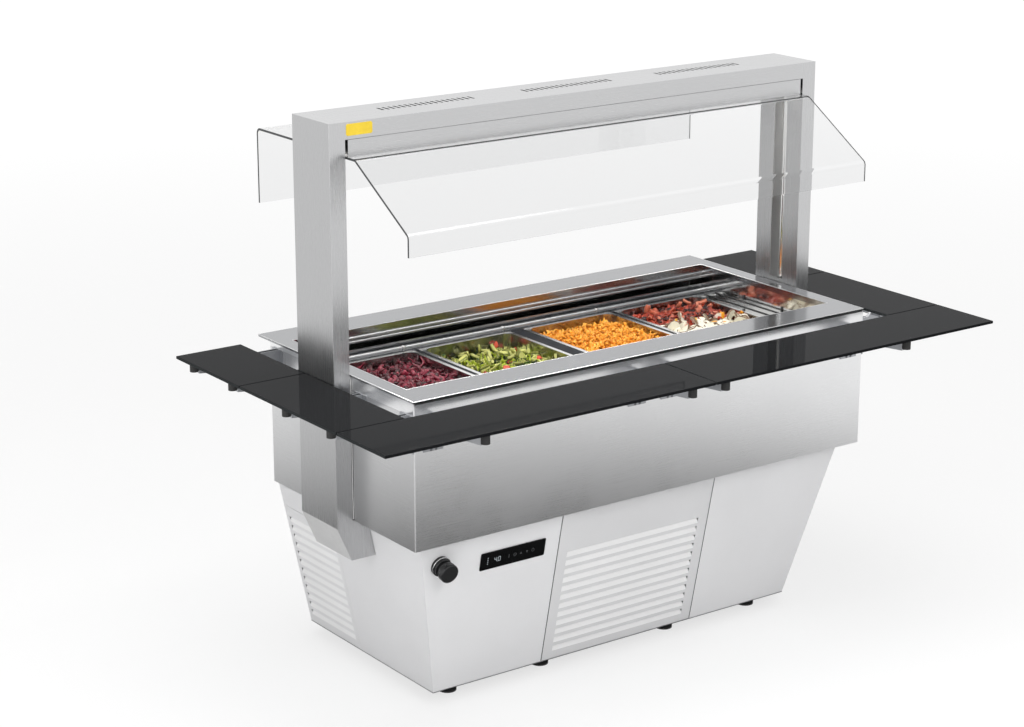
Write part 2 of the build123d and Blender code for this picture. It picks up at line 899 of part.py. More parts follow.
# Evaporator fan in its frame on the duct wall
evap_frame_front_y = opening_rear_y - evap_fan_depth
with BuildPart() as evaporator_fan_frame:
    half = evap_fan_size / 2
    bar = fan_guard_width / 2
    bar_rear_y = evap_frame_front_y + fan_guard
    left, right = evap_fan_x - half, evap_fan_x + half
    low, high = evap_fan_z - half, evap_fan_z + half
    slab(left, right, evap_frame_front_y, opening_rear_y, low, high)
    with Locations(Plane(origin=(evap_fan_x, evap_frame_front_y, evap_fan_z), z_dir=(0, 1, 0))):
        Cylinder(evap_fan_radius + fan_clear, 4 * evap_fan_depth, mode=Mode.SUBTRACT)
    slab(left, right, evap_frame_front_y, bar_rear_y, evap_fan_z - bar, evap_fan_z + bar)
    slab(evap_fan_x - bar, evap_fan_x + bar, evap_frame_front_y, bar_rear_y, low, high)
    with Locations(Plane(origin=(evap_fan_x, evap_frame_front_y, evap_fan_z), z_dir=(0, 1, 0))):
        Cylinder(evap_shaft_radius, evap_fan_depth - fan_guard, align=(Align.CENTER, Align.CENTER, Align.MIN))
write(evaporator_fan_frame.part, "evaporator_fan_frame")
evap_hub_y = bar_rear_y + slip + evap_hub_length / 2
write(
    fan(
        (evap_fan_x, evap_hub_y, evap_fan_z),
        evap_hub_radius,
        evap_hub_length,
        evap_fan_radius,
        evap_shaft_radius + running_fit,
    ),
    "evaporator_fan",
)

# Condenser fan shroud with the motor on two struts behind the opening
with BuildPart() as fan_shroud:
    slab(-condenser_half, condenser_half, condenser_rear_y, shroud_rear_y, condenser_bottom_z, condenser_top_z)
    slab(
        shroud_wall - condenser_half,
        condenser_half - shroud_wall,
        condenser_rear_y,
        shroud_rear_y - shroud_wall,
        condenser_bottom_z + shroud_wall,
        condenser_top_z - shroud_wall,
        mode=Mode.SUBTRACT,
    )
    shroud_mouth = Plane(origin=(0, shroud_rear_y, condenser_fan_z), z_dir=(0, 1, 0))
    with Locations(shroud_mouth):
        Cylinder(fan_radius + fan_clear, 4 * shroud_wall, mode=Mode.SUBTRACT)
    strut_rise = motor_radius - strut_width
    for strut_z in (condenser_fan_z - strut_rise, condenser_fan_z + strut_rise):
        slab(
            -fan_radius - 2 * fan_clear,
            fan_radius + 2 * fan_clear,
            shroud_rear_y,
            shroud_rear_y + strut_width,
            strut_z - strut_width / 2,
            strut_z + strut_width / 2,
        )
    with Locations(shroud_mouth):
        Cylinder(motor_radius, motor_length, align=(Align.CENTER, Align.CENTER, Align.MIN))
        shaft_length = fan_hub_length + motor_shaft_end
        Cylinder(motor_shaft_radius, shaft_length, align=(Align.CENTER, Align.CENTER, Align.MAX))
write(fan_shroud.part, "fan_shroud")
write(
    fan(
        (0, shroud_rear_y - slip - fan_hub_length / 2, condenser_fan_z),
        fan_hub_radius,
        fan_hub_length,
        fan_radius,
        motor_shaft_radius + running_fit,
    ),
    "condenser_fan",
)

# Hermetic compressor on its foot plate
with BuildPart() as compressor:
    with Locations((compressor_x, compressor_y, floor_top + compressor_foot)):
        Cylinder(compressor_radius, compressor_height, align=(Align.CENTER, Align.CENTER, Align.MIN))
    fillet(compressor.edges().filter_by(GeomType.CIRCLE), compressor_radius / 2)
    with Locations((compressor_x, compressor_y, floor_top)):
        Box(
            compressor_foot_length,
            compressor_foot_width,
            2 * compressor_foot,
            align=(Align.CENTER, Align.CENTER, Align.MIN),
        )
write(compressor.part, "compressor")

# Control display, let into the front left panel
with BuildPart() as control_display:
    with BuildSketch(front_plane):
        with Locations((display_x, along_slope(display_z))):
            RectangleRounded(display_length, display_height, display_corner)
    extrude(amount=display_proud)
    fillet(control_display.faces().sort_by(Axis.Y)[0].edges(), edge_round)
    with BuildSketch(front_plane):
        with Locations((display_x, along_slope(display_z))):
            clear = 2 * (display_margin + slip)
            Rectangle(display_length - clear, display_height - clear)
    extrude(amount=-display_body)
write(control_display.part, "control_display")

# Knob: a fixed rosette on the panel and a turning grip on a flanged neck
knob_plane = Plane(
    origin=front_plane.from_local_coords((knob_x, along_slope(knob_z), 0)),
    x_dir=front_plane.x_dir,
    z_dir=front_plane.z_dir,
)
with BuildPart() as knob_rosette:
    with BuildSketch(knob_plane):
        Circle(rosette_radius)
        Circle(knob_shaft_radius + running_fit, mode=Mode.SUBTRACT)
    extrude(amount=rosette_thickness)
    fillet(knob_rosette.edges().sort_by(SortBy.LENGTH)[-1], edge_round)
write(knob_rosette.part, "knob_rosette")

knob_foot = rosette_thickness + slip
with BuildPart() as knob:
    with BuildSketch(knob_plane.offset(knob_foot + flange_thickness + neck_length)):
        Circle(knob_radius)
    extrude(amount=knob_disc)
    fillet(knob.edges(), knob_round)
    with BuildSketch(knob_plane.offset(knob_foot)):
        Circle(neck_radius)
    extrude(amount=flange_thickness + neck_length)
    with BuildSketch(knob_plane.offset(knob_foot)):
        Circle(flange_radius)
    extrude(amount=flange_thickness)
    with BuildSketch(knob_plane.offset(knob_foot)):
        Circle(knob_shaft_radius)
    extrude(amount=-knob_shaft_length)
write(knob.part, "knob")


# Columns: hollow, with a slot for the canopy, a pad on the skirt and a foot that leans in to the base
def column(side):
    """One gantry column; side is -1 for the left and 1 for the right."""
    foot_inner_top = base_half + lean_out(skirt_bottom - column_foot_clear) + column_foot_clear
    foot_inner_bottom = base_half + lean_out(column_foot_z) + column_foot_clear

    def outline(wall):
        return [
            (column_outer - wall, unit_height - wall),
            (column_inner + wall, unit_height - wall),
            (column_inner + wall, skirt_bottom - column_foot_clear - wall),
            (foot_inner_top + wall, skirt_bottom - column_foot_clear - wall),
            (foot_inner_bottom + wall, column_foot_z + wall),
            (column_outer - column_foot_taper - wall / 2, column_foot_z + wall),
            (column_outer - wall, column_side_end_z + wall / 4),
        ]

    with BuildPart() as shell:
        with BuildSketch(at_y(column_front_y)):
            Polygon(*[(side * x, z) for x, z in outline(0)], align=None)
        extrude(amount=-column_depth)
        outer = shell.faces().sort_by(Axis.X)[0 if side < 0 else -1]
        outer_top = outer.edges().filter_by(Axis.Y).sort_by(Axis.Z)[-1:]
        fillet(outer.edges().filter_by(Axis.Z) + outer_top, edge_round)
        with BuildSketch(at_y(column_front_y + sheet)):
            Polygon(*[(side * x, z) for x, z in outline(sheet)], align=None)
        extrude(amount=-(column_depth - 2 * sheet), mode=Mode.SUBTRACT)
        inner_x = sorted((side * (column_inner - sheet), side * (column_inner + 2 * sheet)))
        slab(
            inner_x[0],
            inner_x[1],
            column_y - slider_width / 2 - slider_clear,
            column_y + slider_width / 2 + slider_clear,
            slot_bottom_z,
            beam_bottom,
            mode=Mode.SUBTRACT,
        )
        shelf_x = sorted((side * column_inner, side * column_outer))
        slab(
            shelf_x[0] + sheet / 2,
            shelf_x[1] - sheet / 2,
            column_front_y + sheet / 2,
            column_rear_y - sheet / 2,
            rod_seat_z - rod_seat,
            rod_seat_z,
        )
        pad_x = sorted((side * box_half, side * column_inner))
        slab(pad_x[0], pad_x[1], column_front_y, column_rear_y, skirt_bottom, body_top)
    return shell.part


write(column(-1), "left_column")
write(column(1), "right_column")

with BuildPart() as guide_rods:
    for x in (-rod_x, rod_x):
        with Locations((x, column_y, rod_seat_z)):
            Cylinder(
                rod_radius, unit_height - sheet - rod_seat_z, align=(Align.CENTER, Align.CENTER, Align.MIN)
            )
write(guide_rods.part, "guide_rods")

# Gantry beam: a channel open downwards, with vent slots in its top
with BuildPart() as gantry_beam:
    slab(-column_inner, column_inner, column_front_y, column_rear_y, beam_bottom, unit_height)
    slab(
        sheet - column_inner,
        column_inner - sheet,
        column_front_y + sheet,
        column_rear_y - sheet,
        beam_bottom,
        unit_height - sheet,
        mode=Mode.SUBTRACT,
    )
    with BuildSketch(Plane.XY.offset(unit_height)):
        for x in (-vent_spacing, 0, vent_spacing):
            with Locations((x, column_y + vent_offset)):
                with GridLocations(vent_pitch, vent_length, vent_count, 1):
                    SlotOverall(vent_length, vent_width, rotation=90)
    extrude(amount=-2 * sheet, mode=Mode.SUBTRACT)
write(gantry_beam.part, "gantry_beam")

# Canopy housing, its sliders on the guide rods, and the light diffuser
with BuildPart() as canopy_housing:
    slab(-canopy_half, canopy_half, column_front_y, column_rear_y, canopy_bottom, canopy_top)
    slab(
        sheet - canopy_half,
        canopy_half - sheet,
        column_front_y + sheet,
        column_rear_y - sheet,
        canopy_bottom + sheet,
        canopy_top - sheet,
        mode=Mode.SUBTRACT,
    )
    slab(
        canopy_flange - canopy_half,
        canopy_half - canopy_flange,
        column_front_y + canopy_flange,
        column_rear_y - canopy_flange,
        canopy_bottom,
        canopy_bottom + sheet,
        mode=Mode.SUBTRACT,
    )
write(canopy_housing.part, "canopy_housing")

with BuildPart() as slider_blocks:
    for side in (-1, 1):
        ends = sorted((side * canopy_half, side * (rod_x + rod_radius + slider_wall)))
        slab(
            ends[0],
            ends[1],
            column_y - slider_width / 2,
            column_y + slider_width / 2,
            canopy_top - slider_height,
            canopy_top,
        )
        with Locations((side * rod_x, column_y, canopy_top)):
            Cylinder(rod_radius + running_fit, 4 * slider_height, mode=Mode.SUBTRACT)
write(slider_blocks.part, "slider_blocks")

front_glass_end_y = column_front_y + glass_overlap
rear_glass_end_y = column_rear_y - glass_overlap
with BuildPart() as light_diffuser:
    slab(
        sheet - canopy_half,
        canopy_half - sheet,
        front_glass_end_y + diffuser_gap,
        rear_glass_end_y - diffuser_gap,
        canopy_bottom - diffuser,
        canopy_bottom,
    )
write(light_diffuser.part, "light_diffuser")


def bent_glass(half, points):
    """Bent pane of even thickness; points are its middle line in depth and height."""
    with BuildPart() as pane:
        with BuildSketch(Plane.YZ.offset(-half)):
            with BuildLine() as middle:
                FilletPolyline(*points, radius=bend_radius)
            trace(middle.edges(), line_width=glass)
        extrude(amount=2 * half)
    return pane.part


write(
    bent_glass(
        canopy_half + guard_overhang,
        [
            (front_glass_end_y, glass_mid_z),
            (guard_bend_y, glass_mid_z),
            (guard_lip_y, guard_lip_top_z),
            (guard_lip_y, guard_bottom_z),
        ],
    ),
    "front_guard_glass",
)
rear_drop_y = rear_y - glass / 2
write(
    bent_glass(
        canopy_half - rear_guard_inset,
        [(rear_glass_end_y, glass_mid_z), (rear_drop_y, glass_mid_z), (rear_drop_y, guard_bottom_z)],
    ),
    "rear_guard_glass",
)

# Tray slides. Arms and consoles are drawn as distance outwards from the hinge line and height over it.
def hinge_plane(place, along):
    """Plane across a hinge, its x pointing outwards and its y up, at a distance along the wall."""
    if place == "front":
        return Plane(origin=(along, front_hinge_y, hinge_z), x_dir=(0, -1, 0), z_dir=(-1, 0, 0))
    side = -1 if place == "left" else 1
    return Plane(origin=(side * side_hinge_x, along, hinge_z), x_dir=(side, 0, 0), z_dir=(0, -side, 0))


def through(profile, amount):
    """Extrude a profile evenly to both sides."""
    extrude(profile.sketch, amount=amount / 2, both=True)


under = glass_under - hinge_z


def arm(place, along, reach, inner):
    """Tapered arm from the hinge eye out to the bumper under the glass."""
    with BuildSketch(hinge_plane(place, along)) as profile:
        Polygon(
            (0, -arm_drop),
            (reach, under - arm_tip),
            (reach, under),
            (inner, under),
            (-eye_radius, 0),
            align=None,
        )
        Circle(eye_radius)
        Circle(pin_radius + running_fit, mode=Mode.SUBTRACT)
    through(profile, arm_width)


def bumper(place, along, out):
    """Round rubber bumper under the glass at the end of an arm."""
    centre = hinge_plane(place, along).from_local_coords((out, under, 0))
    with Locations(centre):
        Cylinder(bumper_radius, bumper_height, align=(Align.CENTER, Align.CENTER, Align.MAX))


def console(place, along, wall_gap):
    """Wall bracket: a plate and two ears that hold the hinge pin."""
    plane = hinge_plane(place, along)
    ear_from = arm_width / 2 + ear_gap
    for side in (-1, 1):
        with BuildSketch(plane.offset(side * (ear_from + ear_thickness / 2))) as ear:
            Polygon(
                (-wall_gap, -console_height + eye_radius),
                (console_plate - wall_gap, -console_height + eye_radius),
                (eye_radius * 0.7, -eye_radius * 0.7),
                (0, eye_radius),
                (-wall_gap, eye_radius),
                align=None,
            )
            Circle(eye_radius)
            Circle(pin_radius, mode=Mode.SUBTRACT)
        through(ear, ear_thickness)
    with BuildSketch(plane) as plate:
        with Locations((console_plate / 2 - wall_gap, eye_radius - console_height / 2)):
            Rectangle(console_plate, console_height)
    through(plate, console_width)


def pin(place, along):
    """Hinge pin through both ears and the arm's eye."""
    with BuildSketch(hinge_plane(place, along)) as profile:
        Circle(pin_radius)
    through(profile, arm_width + 2 * (ear_gap + ear_thickness))


side_wall_gaps = [side_hinge_x - (box_half if y < column_rear_y else wrap_half) for y in side_arm_y]

with BuildPart() as slide_consoles:
    for x in front_arm_x:
        console("front", x, hinge_reach)
    for place in ("left", "right"):
        for y, wall_gap in zip(side_arm_y, side_wall_gaps):
            console(place, y, wall_gap)
write(slide_consoles.part, "slide_consoles")

with BuildPart() as hinge_pins:
    for x in front_arm_x:
        pin("front", x)
    for place in ("left", "right"):
        for y in side_arm_y:
            pin(place, y)
write(hinge_pins.part, "hinge_pins")

front_inner = front_hinge_y - front_slide_inner_y
front_out = front_hinge_y - front_y - bumper_from_edge
side_inner = side_inner_x - side_hinge_x
side_out = slide_half - side_hinge_x - bumper_from_edge
arm_end = bumper_radius + slip

for side, name in ((-1, "front_left"), (1, "front_right")):
    arms_x = [x for x in front_arm_x if x * side > 0]
    with BuildPart() as front_slide:
        ends = sorted((side * slide_joint_gap / 2, side * slide_half))
        slab(ends[0], ends[1], front_y, front_slide_inner_y, glass_under, slide_top)
        fillet(front_slide.edges(), edge_round)
    write(front_slide.part, f"{name}_slide_glass")
    with BuildPart() as front_carrier:
        for x in arms_x:
            arm("front", x, front_out - arm_end, front_inner)
        ends = sorted((side * strip_end_gap / 2, side * (box_half - strip_end_gap)))
        strip_y = front_slide_inner_y - strip_outside
        slab(ends[0], ends[1], strip_y, strip_y + strip_width, glass_under - strip_thickness, glass_under)
    write(front_carrier.part, f"{name}_slide_carrier")
    with BuildPart() as front_bumpers:
        for x in arms_x:
            bumper("front", x, front_out)
    write(front_bumpers.part, f"{name}_slide_bumpers")

for side, name in ((-1, "left"), (1, "right")):
    with BuildPart() as side_slide:
        ends = sorted((side * side_inner_x, side * slide_half))
        split = slide_joint_gap / 2
        slab(ends[0], ends[1], side_front_y, side_split_y - split, glass_under, slide_top)
        slab(ends[0], ends[1], side_split_y + split, rear_y, glass_under, slide_top)
        fillet(side_slide.edges(), edge_round)
    write(side_slide.part, f"{name}_slide_glass")
    with BuildPart() as side_carrier:
        for y in side_arm_y:
            arm(name, y, side_out - arm_end, side_inner)
        strip_x = side_inner_x + strip_inset
        ends = sorted((side * strip_x, side * (strip_x + strip_width)))
        slab(
            ends[0],
            ends[1],
            side_front_y + strip_end_gap,
            rear_y - strip_end_gap,
            glass_under - strip_thickness,
            glass_under,
        )
    write(side_carrier.part, f"{name}_slide_carrier")
    with BuildPart() as side_bumpers:
        for y in side_arm_y:
            bumper(name, y, side_out)
    write(side_bumpers.part, f"{name}_slide_bumpers")
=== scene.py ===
import json
from math import copysign, cos, pi, radians, sin, tan, tau

import bmesh
import bpy
from bpy.props import FloatProperty, FloatVectorProperty, IntProperty, PointerProperty
from mathutils import Matrix, Vector, noise


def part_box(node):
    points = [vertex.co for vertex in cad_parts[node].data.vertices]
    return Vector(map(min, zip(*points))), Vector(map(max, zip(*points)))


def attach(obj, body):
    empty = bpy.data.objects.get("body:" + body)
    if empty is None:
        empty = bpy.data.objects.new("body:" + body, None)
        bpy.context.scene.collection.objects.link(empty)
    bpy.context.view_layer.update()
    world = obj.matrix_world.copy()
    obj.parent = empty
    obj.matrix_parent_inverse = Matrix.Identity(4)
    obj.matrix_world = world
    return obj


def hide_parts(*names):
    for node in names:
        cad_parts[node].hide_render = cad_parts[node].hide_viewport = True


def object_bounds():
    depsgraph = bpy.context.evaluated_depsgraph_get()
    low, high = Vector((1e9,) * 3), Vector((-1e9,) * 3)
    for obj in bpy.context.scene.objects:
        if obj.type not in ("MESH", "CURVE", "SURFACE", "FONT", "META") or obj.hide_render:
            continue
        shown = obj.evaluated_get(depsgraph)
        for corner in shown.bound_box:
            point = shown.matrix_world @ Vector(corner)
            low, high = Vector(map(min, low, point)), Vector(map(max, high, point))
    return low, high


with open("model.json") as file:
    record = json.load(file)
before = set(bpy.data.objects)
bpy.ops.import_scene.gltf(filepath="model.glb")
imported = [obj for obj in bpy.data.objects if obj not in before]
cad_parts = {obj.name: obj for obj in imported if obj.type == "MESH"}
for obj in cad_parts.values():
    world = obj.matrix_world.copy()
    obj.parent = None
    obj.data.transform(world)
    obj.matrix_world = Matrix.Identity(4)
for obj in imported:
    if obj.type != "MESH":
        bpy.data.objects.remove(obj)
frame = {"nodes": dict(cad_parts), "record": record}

bl_info = {
    "name": "Refrigerated Salad Bar",
    "version": (1, 0, 0),
    "blender": (4, 5, 0),
    "location": "View3D > Sidebar > Salad Bar",
    "description": "Finishes, salads, fittings and studio for the refrigerated salad bar",
    "category": "Object",
}

cad_low, cad_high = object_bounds()
nodes = frame["nodes"]

ACROSS = Vector((1.0, 0.0, 0.0))
REARWARD = Vector((0.0, 1.0, 0.0))
UP = Vector((0.0, 0.0, 1.0))
WHITE = (1.0, 1.0, 1.0, 1.0)
BLACK = (0.0, 0.0, 0.0, 1.0)

# The base leans outwards as it rises; its front carries the display, the knob and the service grille
BASE_LEAN = radians(12.2)
BASE_HALF = 0.634
FRONT_FOOT = Vector((0.0, -0.114, 0.0375))
FRONT_OUT = Vector((0.0, -cos(BASE_LEAN), -sin(BASE_LEAN)))
FRONT_UP = Vector((0.0, -sin(BASE_LEAN), cos(BASE_LEAN)))
# Underside of the tray slides
SLIDE_LEVEL = 0.89
# Opening of the frame: half its width, and its front and rear edges
OPENING_HALF, OPENING_FRONT, OPENING_REAR = 0.7355, -0.155, 0.416
# Food pans: reach of the rim, wall, corner and lean of the walls, and the room that food leaves to the wall
PAN_RIM, PAN_WALL, PAN_CORNER, PAN_TAPER = 0.011, 0.0012, 0.0268, radians(4.0)
PAN_ROOM = 0.0005
# Columns: middle of the section, its front face, half its inside, and the top
COLUMN_X, COLUMN_Y, COLUMN_TOP = 0.81125, 0.128, cad_high.z
COLUMN_FRONT = COLUMN_Y - 0.091
COLUMN_INSIDE_X, COLUMN_INSIDE_Y = 0.0228, 0.0895


def on_front(height):
    """Point on the middle line of the sloping front at a height."""
    return FRONT_FOOT + FRONT_UP * ((height - FRONT_FOOT.z) / cos(BASE_LEAN))


# Settings


def colour(name, description, value):
    """A colour that a user may change."""
    return FloatVectorProperty(
        name=name, description=description, subtype="COLOR", size=3, min=0.0, max=1.0, default=value
    )


def number(name, description, value, **limits):
    """A number that a user may change."""
    return FloatProperty(name=name, description=description, default=value, **limits)


def length(name, description, value):
    """A length in metres that a user may change."""
    return number(name, description, value, unit="LENGTH", subtype="DISTANCE")


def angle(name, description, degrees):
    """An angle that a user may change."""
    return number(name, description, radians(degrees), subtype="ANGLE")


class SteelSettings(bpy.types.PropertyGroup):
    """Colours of the sheet metal, glass and plastics."""

    brushed: colour("Brushed Steel", "Colour of the skirt and the rear body", (0.89, 0.893, 0.9))
    upright: colour("Gantry Steel", "Colour of the columns, beam and canopy", (0.58, 0.582, 0.588))
    pan: colour("Pan Steel", "Colour of the walls of the food pans", (0.48, 0.48, 0.475))
    # The bars are steel; their near-black colour is painted shade.
    bar: colour("Bar Steel", "Colour of the bars between the pans", (0.022, 0.024, 0.028))
    # The frame's steel is darker than the skirt's as painted shade; the air duct and pan rails share it.
    frame: colour("Frame Steel", "Colour of the frame, air duct and pan rails", (0.35, 0.356, 0.367))
    polished: colour("Polished Steel", "Colour of the well, guide rods and hinge pins", (0.72, 0.72, 0.71))
    panel: colour("Panel", "Colour of the coated base panels", (0.84, 0.84, 0.85))
    bracket: colour("Bracket", "Colour of the slide arms and consoles", (0.45, 0.46, 0.48))
    smoked: colour("Smoked Glass", "Tint of the tray slide glass", (0.01, 0.0105, 0.0115))
    guard: colour("Guard Glass", "Tint of the sneeze guard glass", (0.88, 0.882, 0.884))
    grain: number("Grain", "Brush lines across one metre of sheet", 2600.0, min=50.0, max=4000.0)


class FoodSettings(bpy.types.PropertyGroup):
    """Colours and sizes of the four salads."""

    beetroot: colour("Beetroot", "Colour of the beetroot strips", (0.33, 0.036, 0.065))
    leaf: colour("Leaf", "Colour of the salad leaves", (0.5, 0.6, 0.055))
    cucumber: colour("Cucumber", "Colour of the cucumber flesh", (0.72, 0.72, 0.22))
    tomato: colour("Tomato", "Colour of the tomato pieces", (0.72, 0.1, 0.045))
    carrot: colour("Carrot", "Colour of the grated carrot", (0.96, 0.35, 0.025))
    pepper: colour("Grilled Pepper", "Colour of the grilled peppers", (0.5, 0.06, 0.028))
    mushroom: colour("Mushroom", "Colour of the sliced mushrooms", (0.96, 0.92, 0.78))
    edge_gap: length("Edge Gap", "Strip along the edge of the heap where no piece starts", 0.012)
    sink: length("Sink", "How far the heap lies under its loose pieces", 0.006)
    seed: IntProperty(name="Seed", description="Start of the random places", min=0, default=4)


class FittingSettings(bpy.types.PropertyGroup):
    """Sizes of the small fittings."""

    peg_radius: length("Peg Radius", "Radius of the pegs on the ends of the well", 0.0026)
    peg_length: length("Peg Length", "Height of a peg on the wall", 0.017)
    clip_width: length("Clip Width", "Width of a clip on the rear rail", 0.012)
    screw_radius: length("Screw Radius", "Radius of a screw head", 0.005)
    label_width: length("Label Width", "Width of the bare label plate", 0.08)
    label_height: length("Label Height", "Height of the bare label plate", 0.031)
    digit_height: length("Digit Height", "Height of the figures on the display", 0.013)


class StageSettings(bpy.types.PropertyGroup):
    """Camera, floor and studio light."""

    lens: number("Lens", "Focal length in millimetres", 85.4, unit="CAMERA")
    azimuth: angle("Azimuth", "Camera heading", 35.744)
    tilt: angle("Tilt", "How far the camera looks down", 16.49)
    place: FloatVectorProperty(
        name="Place", description="Camera position", subtype="XYZ", unit="LENGTH", size=3,
        default=(-4.0173, -5.183, 2.7753),
    )
    ambient: number("Ambient", "Level of the even studio light", 0.46, min=0.0)
    # The mat's dark level is a painted shadow, seen only in metal and glass.
    mat: number("Mat", "Level of the grey mat that the metal mirrors", 0.05, min=0.0)
    floor: colour("Floor", "Colour of the floor", (0.9, 0.9, 0.9))


class SaladBarSettings(bpy.types.PropertyGroup):
    """Everything that a user would change."""

    steel: PointerProperty(type=SteelSettings)
    food: PointerProperty(type=FoodSettings)
    fitting: PointerProperty(type=FittingSettings)
    stage: PointerProperty(type=StageSettings)


# Node building


class NodeMaker:
    """Adds nodes to a tree, and the arithmetic between them."""

    def __init__(self, tree):
        self.tree = tree

    def add(self, kind, inputs=(), **settings):
        """A new node with its settings, and its inputs set or linked."""
        node = self.tree.nodes.new(kind)
        for name, value in settings.items():
            setattr(node, name, value)
        for socket, value in dict(inputs).items():
            self.give(node.inputs[socket], value)
        return node

    def give(self, socket, value):
        """Link an output to a socket, or set its value."""
        if isinstance(value, bpy.types.NodeSocket):
            self.tree.links.new(value, socket)
        else:
            socket.default_value = value

    def maths(self, operation, first, second=0.0):
        """One step of arithmetic."""
        return self.add("ShaderNodeMath", {0: first, 1: second}, operation=operation).outputs[0]

    def between(self, value, low, high, start=0.3, stop=0.7):
        """A value carried from one range into another."""
        inputs = {"Value": value, "From Min": start, "From Max": stop, "To Min": low, "To Max": high}
        return self.add("ShaderNodeMapRange", inputs).outputs["Result"]

    def parts(self, vector):
        """The X, Y and Z of a vector."""
        return self.add("ShaderNodeSeparateXYZ", {0: vector}).outputs

    def vector_of(self, x, y, z=0.0):
        """A vector from its parts."""
        return self.add("ShaderNodeCombineXYZ", {0: x, 1: y, 2: z}).outputs[0]

    def length_of(self, vector):
        """Length of a vector."""
        return self.add("ShaderNodeVectorMath", {0: vector}, operation="LENGTH").outputs["Value"]

    def seen(self):
        """One where a ray from the camera, or one mirrored or bent on its way, arrives."""
        path = self.add("ShaderNodeLightPath").outputs
        direct = self.maths("MAXIMUM", path["Is Camera Ray"], path["Is Glossy Ray"])
        return self.maths("MAXIMUM", direct, path["Is Transmission Ray"])


class Finish(NodeMaker):
    """A procedural material and the nodes behind its shader."""

    def __init__(self, name, **values):
        self.material = bpy.data.materials.new(name)
        self.material.use_nodes = True
        super().__init__(self.material.node_tree)
        self.shader = self.tree.nodes["Principled BSDF"]
        for label, value in values.items():
            socket = label.replace("_", " ").title().replace("Ior", "IOR")
            self.shader.inputs[socket].default_value = value

    def feed(self, socket, value):
        """Link an output to the shader."""
        self.give(self.shader.inputs[socket], value)

    def place(self):
        """Object coordinates, in metres."""
        return self.add("ShaderNodeTexCoord").outputs["Object"]

    def facing(self, axis):
        """How far a face looks along an axis of its object."""
        return self.parts(self.add("ShaderNodeTexCoord").outputs["Normal"])[axis]

    def looks(self, axis, least=0.7):
        """One on faces that look along an axis, either way."""
        return self.maths("GREATER_THAN", self.maths("ABSOLUTE", self.facing(axis)), least)

    def speckle(self, vector, scale, detail=3.0, roughness=0.55):
        """Noise at a scale."""
        inputs = {"Vector": vector, "Scale": scale, "Detail": detail, "Roughness": roughness}
        return self.add("ShaderNodeTexNoise", inputs).outputs["Fac"]

    def tone(self, value, dark, light, start=0.3, stop=0.7):
        """A colour between two colours."""
        ramp = self.add("ShaderNodeValToRGB", {"Fac": value})
        for element, at, shade in zip(ramp.color_ramp.elements, (start, stop), (dark, light)):
            element.position = at
            element.color = (*shade, 1.0)
        return ramp.outputs["Color"]

    def mixed(self, factor, *shades):
        """Two colours mixed by a factor."""
        first, second = (
            shade if isinstance(shade, bpy.types.NodeSocket) else (*shade, 1.0) for shade in shades
        )
        return self.add("ShaderNodeMix", {0: factor, 6: first, 7: second}, data_type="RGBA").outputs[2]

    def relief(self, height, strength, distance):
        """Bump from a height."""
        inputs = {"Height": height, "Strength": strength, "Distance": distance}
        self.feed("Normal", self.add("ShaderNodeBump", inputs).outputs["Normal"])

    def attribute(self, name):
        """A value kept on the mesh."""
        return self.add("ShaderNodeAttribute", attribute_name=name).outputs["Fac"]


# Finishes


def scaled(shade, factor):
    """A lighter or darker version of a colour."""
    return tuple(min(1.0, part * factor) for part in shade)


def grain_lines(finish, count, upwards):
    """Fine brush lines: up the sheet, or along it and front to rear on its ends."""
    place = finish.place()
    drawn_out = 5.0
    scale = (count, count, drawn_out)
    if not upwards:
        scale = (drawn_out, count, count)
        spot = finish.parts(place)
        turned = finish.vector_of(spot["Y"], spot["X"], spot["Z"])
        swap = {0: finish.looks("X"), 4: place, 5: turned}
        place = finish.add("ShaderNodeMix", swap, data_type="VECTOR").outputs[1]
    stretched = finish.add("ShaderNodeMapping", {"Vector": place, "Scale": scale}).outputs[0]
    return finish.speckle(stretched, 1.0, 4.0, 0.65)


def brush(name, shade, rough, count, contrast, depth, upwards=False):
    """Brushed metal with faint handling marks: the finish, and the colour that goes to its shader."""
    finish = Finish(name, metallic=1.0)
    lines = grain_lines(finish, count, upwards)
    marks = finish.speckle(finish.place(), 4.0, 5.0)
    handled = finish.between(marks, rough - 0.03, rough + 0.03)
    finish.feed("Roughness", finish.maths("ADD", finish.between(lines, -0.05, 0.05), handled))
    if depth:
        finish.relief(lines, depth, 0.0001)
    return finish, finish.tone(lines, scaled(shade, 1 - contrast), scaled(shade, 1 + contrast))


def steel(name, shade, rough, count, contrast=0.03, depth=0.004, ends=1.0, rim_highlight=1.0):
    """Brushed sheet; ends scales its colour down on end faces under the tray slides as painted shade, rims
    scales it up on level faces as a painted highlight.
    """
    finish, sheet = brush(name, shade, rough, count, contrast, depth)
    # Painted shade: end faces under the tray slides are darkened.
    if ends != 1.0:
        low = finish.maths("LESS_THAN", finish.parts(finish.place())["Z"], SLIDE_LEVEL)
        sheet = finish.mixed(finish.maths("MULTIPLY", finish.looks("X"), low), sheet, scaled(shade, ends))
    # Painted highlight: level faces, such as the rims of the pans, are lightened.
    if rim_highlight != 1.0:
        sheet = finish.mixed(finish.looks("Z"), sheet, scaled(shade, rim_highlight))
    finish.feed("Base Color", sheet)
    return finish.material


